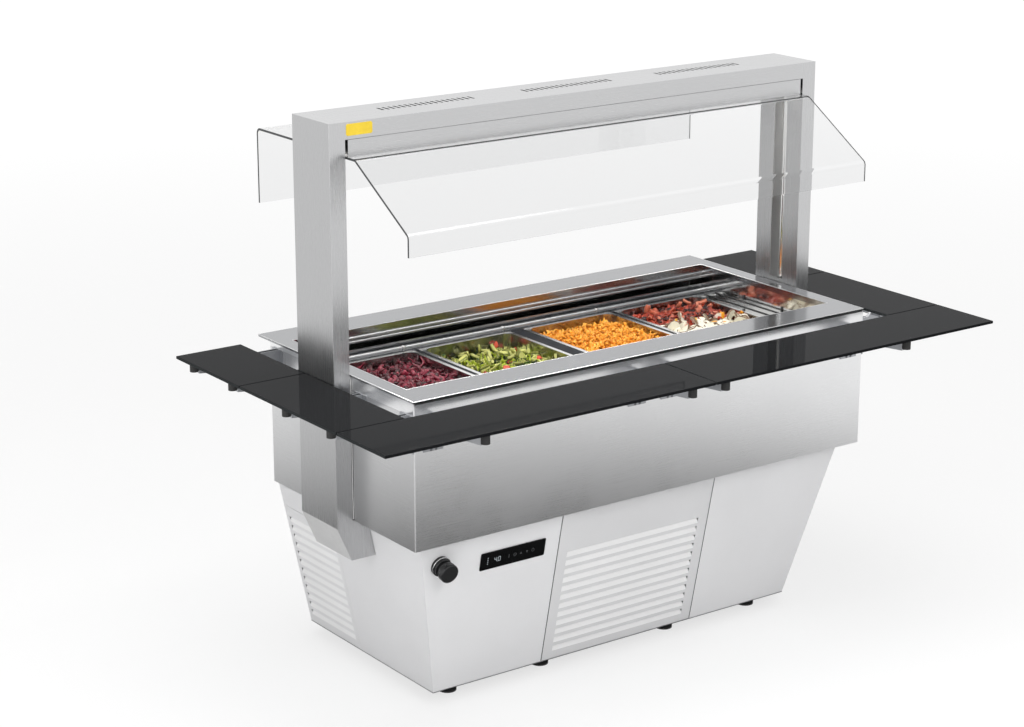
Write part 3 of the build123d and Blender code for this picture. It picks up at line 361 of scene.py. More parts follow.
def column_steel(name, shade, rough, count, inner, outer):
    """Brushed upwards: painted shade on the faces towards the well and away from it; a pale matt grey in
    place of the steel inside and under the foot, as painted light.
    """
    finish, sheet = brush(name, shade, rough, count, 0.04, 0.004, upwards=True)
    spot = finish.parts(finish.place())
    towards = finish.maths("MULTIPLY", finish.facing("X"), finish.maths("SIGN", spot["X"]))
    # Painted shade: faces that look towards the well, and faces that look away from it, are darkened.
    sheet = finish.mixed(finish.maths("LESS_THAN", towards, -0.7), sheet, scaled(shade, inner))
    sheet = finish.mixed(finish.maths("GREATER_THAN", towards, 0.7), sheet, scaled(shade, outer))

    def within(value, middle, half):
        """One where a value is nearer to a middle than a half width."""
        distance = finish.maths("ABSOLUTE", finish.maths("SUBTRACT", value, middle))
        return finish.maths("LESS_THAN", distance, half)

    # Painted light: the hidden inside of the column and the faces that look down get a pale matt grey
    # instead of the steel.
    across = within(finish.maths("ABSOLUTE", spot["X"]), COLUMN_X, COLUMN_INSIDE_X)
    hidden = finish.maths("MULTIPLY", across, within(spot["Y"], COLUMN_Y, COLUMN_INSIDE_Y))
    hidden = finish.maths("MULTIPLY", hidden, finish.maths("LESS_THAN", spot["Z"], COLUMN_TOP - 0.001))
    matt = finish.maths("MAXIMUM", hidden, finish.maths("LESS_THAN", finish.facing("Z"), -0.2))
    finish.feed("Base Color", finish.mixed(matt, sheet, (0.66, 0.66, 0.66)))
    finish.feed("Metallic", finish.maths("SUBTRACT", 1.0, matt))
    return finish.material


def coated(name, shade, rough, pitch=1400.0, upper=None, **values):
    """Powder coat or moulded plastic with a fine pebble; upper is a paler colour on faces that look up, as
    painted light.
    """
    finish = Finish(name, **values)
    pebble = finish.speckle(finish.place(), pitch, 2.0)
    clouds = finish.speckle(finish.place(), 3.0, 4.0)
    coat = finish.tone(clouds, scaled(shade, 0.97), scaled(shade, 1.02))
    # Painted light: faces that look up are lighter.
    if upper:
        coat = finish.mixed(finish.maths("GREATER_THAN", finish.facing("Z"), 0.2), coat, upper)
    finish.feed("Base Color", coat)
    finish.feed("Roughness", finish.between(pebble, rough - 0.05, rough + 0.05))
    finish.relief(pebble, 0.05, 0.0003)
    return finish.material


def pane(name, tint, edge, rough, specular, clear):
    """Toughened glass, clear or backed: its own tint through the faces, another at the ground end edges."""
    finish = Finish(name, transmission_weight=clear, ior=1.45, specular_ior_level=specular)
    finish.feed("Base Color", finish.mixed(finish.looks("X", 0.8), tint, edge))
    smears = finish.speckle(finish.place(), 6.0, 5.0)
    finish.feed("Roughness", finish.between(smears, rough, rough + 0.015, 0.45, 0.75))
    return finish.material


def food_finish(name, fresh, dark, rough, skin=None, coat=0.06, spread=(0.05, 0.95)):
    """Moist food: piece by piece tint, fibres, and a skin where the piece has one."""
    finish = Finish(name, specular_ior_level=0.3, coat_weight=coat, coat_roughness=0.12)
    fibres = finish.speckle(finish.place(), 260.0, 4.0)
    flesh = finish.tone(finish.attribute("tint"), dark, fresh, *spread)
    shade = finish.mixed(finish.between(fibres, 0.0, 0.3), flesh, dark)
    if skin:
        shade = finish.mixed(finish.attribute("skin"), shade, skin)
    finish.feed("Base Color", shade)
    finish.feed("Roughness", finish.between(fibres, rough - 0.06, rough + 0.12))
    finish.relief(fibres, 0.35, 0.0012)
    return finish.material


def lit_mark(name, shade, rough, strength, glow):
    """A lit mark on the display, its glow slightly uneven."""
    finish = Finish(name, roughness=rough, base_color=(*shade, 1.0), emission_strength=strength)
    finish.feed("Emission Color", finish.tone(finish.speckle(finish.place(), 900.0), *glow))
    return finish.material


class SALADBAR_OT_finishes(bpy.types.Operator):
    """Put the finishes on the sheet metal, glass, plastics and machine parts"""

    bl_idname = "saladbar.finishes"
    bl_label = "Finish Metal, Glass and Plastics"

    def execute(self, context):
        look = context.scene.salad_bar.steel
        grain = look.grain
        # pale: the colour painted on the panels' faces that look up, as painted light.
        pale = (0.98, 0.98, 0.98)
        warm = (1.0, 0.97, 0.92, 1.0)
        by_slot = {
            # ends=0.76 paints shade on the end faces of the skirt below the tray slides.
            "brushed_steel": steel("Brushed Steel", look.brushed, 0.3, grain, ends=0.76),
            # Painted shade: the frame gets a darker steel than the skirt.
            "frame_steel": steel("Frame Steel", look.frame, 0.17, grain, depth=0.0),
            "polished_steel": steel("Polished Steel", look.polished, 0.11, grain, contrast=0.01, depth=0.0),
            "bracket_steel": steel("Bracket Steel", look.bracket, 0.4, grain),
            "galvanised_steel": steel("Zinc Coat", (0.5, 0.51, 0.53), 0.45, 40.0, contrast=0.12),
            "coil_aluminium": steel("Coil Aluminium", (0.75, 0.76, 0.77), 0.35, 300.0),
            # The panels' faces that look up are painted paler, painted light.
            "light_panel": coated("Panel Coat", look.panel, 0.42, upper=pale),
            "black_plastic": coated("Black Plastic", (0.02, 0.02, 0.021), 0.4),
            "display_glass": coated("Display Glass", (0.004, 0.0042, 0.0046), 0.12, pitch=60.0),
            "black_metal": coated("Black Machine Paint", (0.025, 0.026, 0.028), 0.5),
            "pipe_plastic": coated("Pipe Plastic", (0.42, 0.43, 0.45), 0.45),
            "foam": coated("Insulating Foam", (0.75, 0.66, 0.42), 0.85, pitch=500.0),
            "black_rubber": coated("Black Rubber", (0.03, 0.03, 0.03), 0.7),
            "opal_plastic": coated(
                "Opal Plastic", (0.85, 0.85, 0.83), 0.4, emission_color=warm, emission_strength=7.0
            ),
            "dark_glass": pane(
                "Smoked Glass", look.smoked, (0.03, 0.033, 0.034), rough=0.03, specular=0.014, clear=0.0
            ),
            "clear_glass": pane(
                "Guard Glass", look.guard, (0.1, 0.11, 0.11), rough=0.0, specular=0.5, clear=1.0
            ),
        }
        # The column steel paints shade on its sides and light inside and under the foot.
        column = column_steel("Column Steel", look.upright, 0.28, grain, inner=0.66, outer=0.86)
        gantry = steel("Gantry Steel", look.upright, 0.3, grain)
        # The duct and pan rails take the frame's darkened colour, painted shade.
        duct = steel("Duct Steel", look.frame, 0.26, grain, contrast=0.01, depth=0.0)
        # The pans' level rims are painted lighter, a painted highlight.
        pan = steel("Pan Steel", look.pan, 0.2, grain, contrast=0.02, depth=0.0, rim_highlight=1.8)
        by_node = {
            "left_column": column,
            "right_column": column,
            "gantry_beam": gantry,
            "canopy_housing": gantry,
            "air_duct": duct,
            "pan_rails": duct,
            # Painted shade: the steel bars between the pans get a near-black matt coat.
            "adapter_bars": coated("Bar Steel", look.bar, 0.5, specular_ior_level=0.08),
            # Painted shade: the whole grille is darker than the other panels, for the strips between the
            # louvres; its faces that look up are painted paler, painted light.
            "service_grille": coated("Grille Coat", scaled(look.panel, 0.91), 0.42, upper=pale),
            **{f"pan_{place}": pan for place in range(1, 5)},
        }
        for entry in frame["record"]["subparts"]:
            name = entry["node"]
            finish = by_node.get(name) or by_slot.get(entry["material_slot"])
            if finish:
                nodes[name].data.materials.clear()
                nodes[name].data.materials.append(finish)
        return {"FINISHED"}


# Mesh building


def made(name, mesh, *materials):
    """A new object of a mesh, linked to the scene."""
    piece = bpy.data.objects.new(name, mesh)
    bpy.context.scene.collection.objects.link(piece)
    for material in materials:
        mesh.materials.append(material)
    return piece


def from_bmesh(name, shape, smooth=True):
    """A mesh from a bmesh, its faces turned outwards."""
    bmesh.ops.recalc_face_normals(shape, faces=shape.faces)
    mesh = bpy.data.meshes.new(name)
    for face in shape.faces:
        face.smooth = smooth
    shape.to_mesh(mesh)
    shape.free()
    return mesh


def dress(piece, body, slot, *replaced):
    """Ride on a body and stand for the nodes it replaces; slot is not used."""
    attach(piece, body)
    if replaced:
        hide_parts(*replaced)
    return piece


def fit(name, shape, material, body, slot, smooth=False):
    """A piece of one shape and finish, on its body."""
    return dress(made(name, from_bmesh(name, shape, smooth), material), body, slot)


def set_down(shape, turn, place):
    """Turn a shape about the origin and move it to its place."""
    bmesh.ops.rotate(shape, verts=shape.verts, cent=(0.0, 0.0, 0.0), matrix=turn)
    bmesh.ops.translate(shape, verts=shape.verts, vec=place)


def bridge(shape, rings, closed=False):
    """Faces between rings of as many points each; closed also joins the last ring to the first."""
    for low, high in zip(rings, rings[1:] + rings[:1] if closed else rings[1:]):
        for i in range(len(low)):
            j = (i + 1) % len(low)
            shape.faces.new((low[i], low[j], high[j], high[i]))


def round_of(shape, radius, height, steps):
    """A round of points about Z."""
    turns = [step * tau / steps for step in range(steps)]
    return [shape.verts.new((radius * cos(a), radius * sin(a), height)) for a in turns]


def lathe(profile, steps=20):
    """A turned shape: (radius, height) pairs from the axis at one end to the axis at the other."""
    shape = bmesh.new()
    rings = [round_of(shape, radius, height, steps if radius else 1) for radius, height in profile]
    for low, high in zip(rings, rings[1:]):
        for step in range(steps):
            around = ((low, step), (low, step + 1), (high, step + 1), (high, step))
            corners = [ring[i % len(ring)] for ring, i in around]
            shape.faces.new(list(dict.fromkeys(corners)))
    return shape


def hoop(section, steps=24):
    """A closed ring about Z with a closed section of (radius, height) pairs."""
    shape = bmesh.new()
    bridge(shape, [round_of(shape, radius, height, steps) for radius, height in section], closed=True)
    return shape


def slab(shape, front, rear):
    """A closed slab between two outlines of as many points each."""
    near = [shape.verts.new(point) for point in front]
    far = [shape.verts.new(point) for point in rear]
    shape.faces.new(near)
    shape.faces.new(far[::-1])
    for i in range(len(near)):
        j = (i + 1) % len(near)
        shape.faces.new((near[i], far[i], far[j], near[j]))


def strip(shape, low, high):
    """A straight strip between two corners, its edges broken."""
    low, high = Vector(low), Vector(high)
    size, middle = high - low, (low + high) / 2
    place = Matrix.Translation(middle) @ Matrix.Diagonal((*size, 1.0))
    part = bmesh.ops.create_cube(shape, size=1.0, matrix=place)
    edges = list({edge for vert in part["verts"] for edge in vert.link_edges})
    bmesh.ops.bevel(shape, geom=edges, offset=0.25 * min(size), segments=2, affect="EDGES")


def twin_strips(middle, half, front, rear, foot, top):
    """The same strip on the left and on the right."""
    shape = bmesh.new()
    for x in (-middle, middle):
        strip(shape, (x - half, front, foot), (x + half, rear, top))
    return shape


# Loose pieces of food


def keep_value(mesh, name, values):
    """A number for each point of a mesh."""
    store = mesh.attributes.new(name, "FLOAT", "POINT")
    store.data.foreach_set("value", values)


def loose_piece(name, shape, skin=None, smooth=True):
    """A piece to scatter, with a value of one on the points of its skin."""
    mesh = from_bmesh(name, shape, smooth)
    keep_value(mesh, "skin", skin or [0.0] * len(mesh.vertices))
    return made(name, mesh)


def strip_piece(name, size, bend, twist, wave=0.0, steps=5):
    """A bent and twisted strip with a flat section; size is length, width and thickness."""
    long, wide, thick = size
    shape = bmesh.new()
    rings = []
    for step in range(steps + 1):
        along = step / steps - 0.5
        arch = long * 0.18 * bend * (0.25 - along * along) * 2
        middle = Vector((long * along, wave * sin(along * tau * 1.3), arch))
        half = wide / 2 * (0.62 + 0.38 * cos(along * pi))
        turn = Matrix.Rotation(-along * bend, 3, "Y") @ Matrix.Rotation(twist * along, 3, "X")
        corners = [Vector((0, y * half, z * thick / 2)) for y, z in ((-1, -1), (1, -1), (1, 1), (-1, 1))]
        rings.append([shape.verts.new(middle + turn @ corner) for corner in corners])
    bridge(shape, rings)
    shape.faces.new(rings[0])
    shape.faces.new(rings[-1])
    return loose_piece(name, shape)


def slice_piece(name, radius, thick, arc, notch=0.0, cup=0.0, rim=0.82, steps=9):
    """A slice of a round vegetable: two faces inside a ring of skin, with an arc, a notch and a cup."""
    shape = bmesh.new()
    skin = []
    layers = []
    turns = [(step / (steps - 1) - 0.5) * arc for step in range(steps)]
    for z in (-thick / 2, thick / 2):
        middle = shape.verts.new((-radius * notch, 0.0, z - cup))
        skin.append(0.0)
        rows = []
        for share in (rim, 1.0):
            row = []
            for turn in turns:
                uneven = 1 + 0.07 * sin(turn * 3 + 1.1)
                x, y = radius * share * uneven * cos(turn), radius * share * sin(turn)
                row.append(shape.verts.new((x, y, z * (2 - share))))
            rows.append(row)
            skin += [float(share == 1.0)] * steps
        layers.append((middle, *rows))
    for middle, inner, outer in layers:
        for i in range(steps - 1):
            shape.faces.new((middle, inner[i], inner[i + 1]))
            shape.faces.new((inner[i], outer[i], outer[i + 1], inner[i + 1]))
    (low_middle, low_in, low_out), (high_middle, high_in, high_out) = layers
    for i in range(steps - 1):
        shape.faces.new((low_out[i], low_out[i + 1], high_out[i + 1], high_out[i]))
    for end in (0, -1):
        shape.faces.new((low_middle, low_in[end], high_in[end], high_middle))
        shape.faces.new((low_in[end], low_out[end], high_out[end], high_in[end]))
    return loose_piece(name, shape, skin, smooth=False)


def leaf_piece(name, size, cup, ruffle):
    """A torn leaf: a thin cupped sheet with a ruffled edge and a pale rib."""
    long, wide, thick = size
    across, along = 5, 6
    shape = bmesh.new()
    skin = []
    sides = []
    for z in (-thick / 2, thick / 2):
        rows = []
        for i in range(along):
            u = i / (along - 1) - 0.5
            span = wide * (0.45 + 0.55 * cos(u * pi * 0.8))
            row = []
            for j in range(across):
                v = j / (across - 1) - 0.5
                rise = cup * (v * v * 2.2 + u * u) + ruffle * abs(v) * sin(u * 15 + v * 4)
                row.append(shape.verts.new((long * u, span * v, rise * wide + z)))
                skin.append(float(j == across // 2))
            rows.append(row)
        sides.append(rows)
    low, high = sides
    for rows in sides:
        for a, b in zip(rows, rows[1:]):
            for j in range(across - 1):
                shape.faces.new((a[j], a[j + 1], b[j + 1], b[j]))
    edge = [(0, j) for j in range(across)] + [(i, across - 1) for i in range(1, along)]
    edge += [(along - 1, j) for j in range(across - 2, -1, -1)] + [(i, 0) for i in range(along - 2, 0, -1)]
    for (i, j), (k, m) in zip(edge, edge[1:] + edge[:1]):
        shape.faces.new((low[i][j], low[k][m], high[k][m], high[i][j]))
    return loose_piece(name, shape, skin)


def chunk_piece(name, size, seed):
    """An uneven cut cube; its noise is seeded, so that each run makes the same one."""
    noise.seed_set(seed)
    shape = bmesh.new()
    bmesh.ops.create_cube(shape, size=1.0)
    bmesh.ops.bevel(shape, geom=shape.edges, offset=0.16, segments=1, affect="EDGES")
    for vert in shape.verts:
        shift = noise.noise_vector(vert.co * 1.7 + Vector((seed, 0, 0)))
        vert.co = Vector([part * side for part, side in zip(vert.co, size)]) + shift * 0.16 * min(size)
    return loose_piece(name, shape)


# Mounds under the loose pieces: crown, corner, room to the filling's edge, and share of it at the foot
MOUND_CROWN, MOUND_CORNER, MOUND_ROOM, MOUND_FOOT = 0.022, 0.026, 0.0015, 0.965
MOUND_STEPS, MOUND_RINGS = 96, 22
# Tint of the mound, near the dark end of its finish: painted shade in the gaps between the loose pieces.
MOUND_SHADE_TINT = 0.15
# Bumps of a mound: how many to the metre, their height, and how far they differ from pan to pan
MOUND_BUMPS = ((22, 0.004, 9), (60, 0.0018, 5))


def rounded_edge(turn, half_x, half_y):
    """Point at an angle on the edge of a rectangle with round corners."""
    direction = Vector((cos(turn), sin(turn)))
    reach = min(half_x / max(abs(direction.x), 1e-6), half_y / max(abs(direction.y), 1e-6))
    point = direction * reach
    inside = Vector((half_x - MOUND_CORNER, half_y - MOUND_CORNER))
    over = Vector((max(abs(point.x) - inside.x, 0.0), max(abs(point.y) - inside.y, 0.0)))
    if over.x and over.y:
        over = over.normalized() * MOUND_CORNER
        point = Vector((copysign(inside.x + over.x, point.x), copysign(inside.y + over.y, point.y)))
    return point


def mound_mesh(node, food, patches, drop):
    """A closed mound in a filling's place, lowered all over and more at the rear, with its patches."""
    low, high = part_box(node)
    middle = (low + high) / 2
    half_x, half_y = (high.x - low.x) / 2 - MOUND_ROOM, (high.y - low.y) / 2 - MOUND_ROOM
    shape = bmesh.new()
    spots = []

    def top_point(spot, share):
        """A point on the uneven top, a share of the way out to the edge."""
        bumps = 0.0
        for count, height, shift in MOUND_BUMPS:
            bumps += noise.noise(Vector((spot.x * count, spot.y * count, middle.x * shift))) * height
        level = high.z - MOUND_CROWN - food.sink - drop[0] - drop[1] * (0.5 + spot.y / half_y / 2)
        z = level + MOUND_CROWN * (1 - share**2.2) + bumps * (1 - share**6)
        spots.append((Vector((spot.x / half_x, spot.y / half_y)), share))
        return shape.verts.new((middle.x + spot.x, middle.y + spot.y, z))

    outline = [rounded_edge(step * tau / MOUND_STEPS, half_x, half_y) for step in range(MOUND_STEPS)]
    top = top_point(Vector((0.0, 0.0)), 0.0)
    shares = [ring / MOUND_RINGS for ring in range(1, MOUND_RINGS + 1)]
    rows = [[top_point(point * share, share) for point in outline] for share in shares]
    feet = [point * MOUND_FOOT for point in outline]
    rows.append([shape.verts.new((middle.x + spot.x, middle.y + spot.y, low.z)) for spot in feet])
    for i in range(MOUND_STEPS):
        shape.faces.new((top, rows[0][i], rows[0][(i + 1) % MOUND_STEPS]))
    for inner, outer in zip(rows, rows[1:]):
        for i in range(MOUND_STEPS):
            j = (i + 1) % MOUND_STEPS
            shape.faces.new((inner[i], outer[i], outer[j], inner[j]))
    shape.faces.new(rows[-1])
    mesh = from_bmesh(f"{node}_mound", shape)
    keep_value(mesh, "tint", [MOUND_SHADE_TINT] * len(mesh.vertices))
    keep_value(mesh, "skin", [0.0] * len(mesh.vertices))
    inset = 1 - food.edge_gap / min(half_x, half_y)
    for name, patch in patches.items():
        values = [patch(spot) if share < inset else 0.0 for spot, share in spots]
        keep_value(mesh, name, values + [0.0] * MOUND_STEPS)
    return mesh


# Geometry Nodes


class Tree(NodeMaker):
    """A Geometry Nodes tree and its named inputs."""

    def __init__(self, name, inputs):
        super().__init__(bpy.data.node_groups.new(name, "GeometryNodeTree"))
        sockets = self.tree.interface
        sockets.new_socket(name="Geometry", in_out="OUTPUT", socket_type="NodeSocketGeometry")
        self.identifiers = {}
        for label, kind in inputs.items():
            socket = sockets.new_socket(name=label, in_out="INPUT", socket_type=f"NodeSocket{kind}")
            self.identifiers[label] = socket.identifier
        self.start = self.add("NodeGroupInput").outputs
        self.end = self.add("NodeGroupOutput").inputs

    def random(self, low, high, seed, vector=False):
        """A random number or vector for each point."""
        first, kind, result = (0, "FLOAT_VECTOR", 0) if vector else (2, "FLOAT", 1)
        inputs = {first: low, first + 1: high, "Seed": seed}
        return self.add("FunctionNodeRandomValue", inputs, data_type=kind).outputs[result]

    def vector(self, operation, first, second=(0.0, 0.0, 0.0)):
        """One step of arithmetic on vectors."""
        return self.add("ShaderNodeVectorMath", {0: first, 1: second}, operation=operation).outputs[0]

    def position(self):
        """Place of each point."""
        return self.add("GeometryNodeInputPosition").outputs[0]

    def kept(self, name, kind):
        """A value kept on the points of the mesh."""
        node = self.add("GeometryNodeInputNamedAttribute", {"Name": name}, data_type=kind)
        return node.outputs["Attribute"]

    def moved(self, geometry, offset):
        """Points moved by an offset."""
        return self.add("GeometryNodeSetPosition", {"Geometry": geometry, "Offset": offset}).outputs[0]

    def copies(self, points, source, rotation, scale=(1.0, 1.0, 1.0)):
        """A copy of an object at each point."""
        shape = self.add("GeometryNodeObjectInfo", {"Object": source}).outputs["Geometry"]
        inputs = {"Points": points, "Instance": shape, "Rotation": rotation, "Scale": scale}
        return self.add("GeometryNodeInstanceOnPoints", inputs).outputs[0]

    def finished(self, copies):
        """The copies made real, in the finish that the tree is given."""
        real = self.add("GeometryNodeRealizeInstances", {"Geometry": copies}).outputs[0]
        inputs = {"Geometry": real, "Material": self.start["Finish"]}
        return self.add("GeometryNodeSetMaterial", inputs).outputs[0]

    def ended(self, geometry):
        """The tree with its result linked."""
        self.give(self.end[0], geometry)
        return self

    def put_on(self, piece, values):
        """A modifier of this tree with its inputs set."""
        modifier = piece.modifiers.new(self.tree.name, "NODES")
        modifier.node_group = self.tree
        for label, value in values.items():
            modifier[self.identifiers[label]] = value


def scatter_tree():
    """Loose pieces of one kind over a heap and each other, within a patch of it and under a ceiling."""
    tree = Tree("Scatter Food", {
        "Heap": "Geometry", "Piece": "Object", "Patch": "String", "Spacing": "Float", "Ceiling": "Float",
        "Smallest": "Float", "Largest": "Float", "Tilt": "Float", "Lift": "Float", "Seed": "Int",
        "Finish": "Material",
    })
    start = tree.start
    seed, tilt = start["Seed"], start["Tilt"]
    under = tree.maths("LESS_THAN", tree.parts(tree.position())["Z"], start["Ceiling"])
    points = tree.add(
        "GeometryNodeDistributePointsOnFaces",
        {
            "Mesh": start["Heap"],
            "Distance Min": start["Spacing"],
            "Density Max": 40000.0,
            "Density Factor": tree.maths("MULTIPLY", tree.kept(start["Patch"], "FLOAT"), under),
            "Seed": seed,
        },
        distribute_method="POISSON",
    ).outputs
    raised = tree.moved(points["Points"], tree.vector_of(0.0, 0.0, tree.random(0.0, start["Lift"], seed)))
    back = tree.maths("MULTIPLY", tilt, -1.0)
    least, most = tree.vector_of(back, back, 0.0), tree.vector_of(tilt, tilt, tau)
    lean = tree.random(least, most, tree.maths("ADD", seed, 1), vector=True)
    turn = tree.add("FunctionNodeEulerToRotation", {0: lean}).outputs[0]
    turned = {"Rotation": points["Rotation"], "Rotate By": turn}
    rotation = tree.add("FunctionNodeRotateRotation", turned, rotation_space="LOCAL").outputs[0]
    size = tree.random(start["Smallest"], start["Largest"], tree.maths("ADD", seed, 2))
    copies = tree.copies(raised, start["Piece"], rotation, size)
    tint = tree.random(0.0, 1.0, tree.maths("ADD", seed, 3))
    tinted = tree.add(
        "GeometryNodeStoreNamedAttribute",
        {"Geometry": copies, "Name": "tint", "Value": tint},
        data_type="FLOAT",
        domain="INSTANCE",
    ).outputs[0]
    joined = tree.add("GeometryNodeJoinGeometry")
    for geometry in (start["Heap"], tree.finished(tinted)):
        tree.give(joined.inputs[0], geometry)
    return tree.ended(joined.outputs[0])


def pan_tree():
    """Food pressed back inside the walls of its pan, which close in downwards and have round corners."""
    tree = Tree("Keep in Pan", {
        "Food": "Geometry", "Rim": "Vector", "Half": "Vector", "Corner": "Float", "Taper": "Float",
    })
    start = tree.start
    corner = start["Corner"]
    offset = tree.vector("SUBTRACT", tree.position(), start["Rim"])
    flat = tree.vector("MULTIPLY", offset, (1.0, 1.0, 0.0))
    size = tree.vector("ABSOLUTE", flat)
    closing = tree.maths("MULTIPLY", tree.parts(offset)["Z"], start["Taper"])
    inset = tree.maths("SUBTRACT", closing, corner)
    straight = tree.vector("ADD", start["Half"], tree.vector_of(inset, inset))
    over = tree.vector("MAXIMUM", tree.vector("SUBTRACT", size, straight))
    share = tree.maths("MINIMUM", tree.maths("DIVIDE", corner, tree.length_of(over)), 1.0)
    rounded = tree.add("ShaderNodeVectorMath", {0: over, "Scale": share}, operation="SCALE").outputs[0]
    kept = tree.vector("ADD", tree.vector("MINIMUM", size, straight), rounded)
    move = tree.vector("SUBTRACT", tree.vector("MULTIPLY", kept, tree.vector("SIGN", flat)), flat)
    return tree.ended(tree.moved(start["Food"], move))


def fitting_tree():
    """One fitting at each point of a mesh, its axis along the direction kept there."""
    tree = Tree("Place Fittings", {"Places": "Geometry", "Fitting": "Object", "Finish": "Material"})
    facing = {"Vector": tree.kept("facing", "FLOAT_VECTOR")}
    turn = tree.add("FunctionNodeAlignRotationToVector", facing, axis="Z").outputs[0]
    return tree.ended(tree.finished(tree.copies(tree.start["Places"], tree.start["Fitting"], turn)))


def settled(piece, name, tools):
    """The evaluated piece as a plain mesh under its own name; the tools that made it go."""
    bpy.context.view_layer.update()
    graph = bpy.context.evaluated_depsgraph_get()
    source = piece.evaluated_get(graph)
    mesh = bpy.data.meshes.new_from_object(source, preserve_all_data_layers=True, depsgraph=graph)
    if not mesh.polygons:
        raise RuntimeError(f"{name} came out empty")
    for old in (piece, *tools):
        bpy.data.objects.remove(old)
    mesh.name = name
    return made(name, mesh)


def fittings(name, shape, places, material, body, slot, smooth=True):
    """A fitting of one shape at each (point, direction) pair, as one piece on its body."""
    mesh = bpy.data.meshes.new(f"{name}_places")
    mesh.from_pydata([tuple(point) for point, _ in places], [], [])
    store = mesh.attributes.new("facing", "FLOAT_VECTOR", "POINT")
    store.data.foreach_set("vector", [part for _, facing in places for part in facing])
    holder = made(f"{name}_places", mesh)
    fitting = made(f"{name}_fitting", from_bmesh(f"{name}_fitting", shape, smooth))
    fitting_tree().put_on(holder, {"Fitting": fitting, "Finish": material})
    return dress(settled(holder, name, (fitting,)), body, slot)


# Salads

# A patch that covers the whole heap
ALL_OVER = {"all": lambda spot: 1.0}
# How far above the top of the mound a piece may start, and how the seeds of the layers follow each other
STACK_HEIGHT = 0.008
SEED_STEP, LAYER_STEP = 10, 7
# Antipasti: slant of the seam between the two halves
SEAM_SLANT = 0.12


def layer(piece, finish, spacing, sizes, tilt, lift, patch="all"):
    """Scatter inputs of one layer of loose pieces."""
    smallest, largest = sizes
    return {
        "Piece": piece, "Finish": finish, "Patch": patch, "Spacing": spacing,
        "Smallest": smallest, "Largest": largest, "Tilt": tilt, "Lift": lift,
    }


def heap(food, name, node, pan, body, slot, ground, drop, layers, patches=ALL_OVER):
    """A salad in its pan: its mound, and one layer of loose pieces after another."""
    piece = made(f"{name}_mound", mound_mesh(node, food, patches, drop), ground)
    scatter = scatter_tree()
    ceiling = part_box(node)[1].z - food.sink - drop[0] + STACK_HEIGHT
    for index, inputs in enumerate(layers):
        seed = food.seed * SEED_STEP + index * LAYER_STEP
        scatter.put_on(piece, {**inputs, "Ceiling": ceiling, "Seed": seed})
    low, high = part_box(pan)
    inside = PAN_RIM + PAN_WALL + PAN_ROOM
    pan_tree().put_on(piece, {
        "Rim": ((low.x + high.x) / 2, (low.y + high.y) / 2, high.z),
        "Half": ((high.x - low.x) / 2 - inside, (high.y - low.y) / 2 - inside, 0.0),
        "Corner": PAN_CORNER,
        "Taper": tan(PAN_TAPER),
    })
    tools = dict.fromkeys(inputs["Piece"] for inputs in layers)
    return dress(settled(piece, name, tools), body, slot, node)


class SALADBAR_OT_beetroot(bpy.types.Operator):
    """Fill the first pan with beetroot strips"""

    bl_idname = "saladbar.beetroot"
    bl_label = "Beetroot Salad"

    def execute(self, context):
        food = context.scene.salad_bar.food
        # deep is the dark end of the strips' random tone and of the ground: partly real tone, partly painted
        # shade.
        dark_tone_and_shade = scaled(food.beetroot, 0.1)
        flesh = food_finish("Beetroot", food.beetroot, dark_tone_and_shade, 0.2, coat=0.25)
        zest = food_finish("Orange Zest", (0.62, 0.2, 0.03), (0.4, 0.09, 0.02), 0.3)
        # Painted shade: the ground under the strips is dark, for the gaps between them.
        ground = food_finish("Beetroot Ground", scaled(food.beetroot, 0.25), dark_tone_and_shade, 0.25)
        slip = leaf_piece("beetroot_slip", (0.03, 0.019, 0.0042), cup=0.5, ruffle=0.12)
        cube = chunk_piece("beetroot_cube", (0.021, 0.015, 0.009), seed=5)
        ribbon = strip_piece("beetroot_strip", (0.032, 0.011, 0.004), bend=1.3, twist=0.9, wave=0.004)
        fleck = chunk_piece("zest_fleck", (0.02, 0.014, 0.006), seed=2)
        heap(
            food, "beetroot_heap", node="beetroot_salad", pan="pan_1", body="beetroot_pan", slot="beetroot",
            ground=ground, drop=(0.017, 0.006),
            layers=[
                layer(slip, flesh, spacing=0.0145, sizes=(0.7, 1.2), tilt=0.55, lift=0.007),
                layer(cube, flesh, spacing=0.0145, sizes=(0.7, 1.25), tilt=0.8, lift=0.007),
                layer(ribbon, flesh, spacing=0.03, sizes=(0.7, 1.15), tilt=0.6, lift=0.009),
                layer(fleck, zest, spacing=0.055, sizes=(0.8, 1.3), tilt=0.5, lift=0.011, patch="front"),
            ],
            patches={**ALL_OVER, "front": lambda spot: float(spot.y < -0.15)},
        )
        return {"FINISHED"}


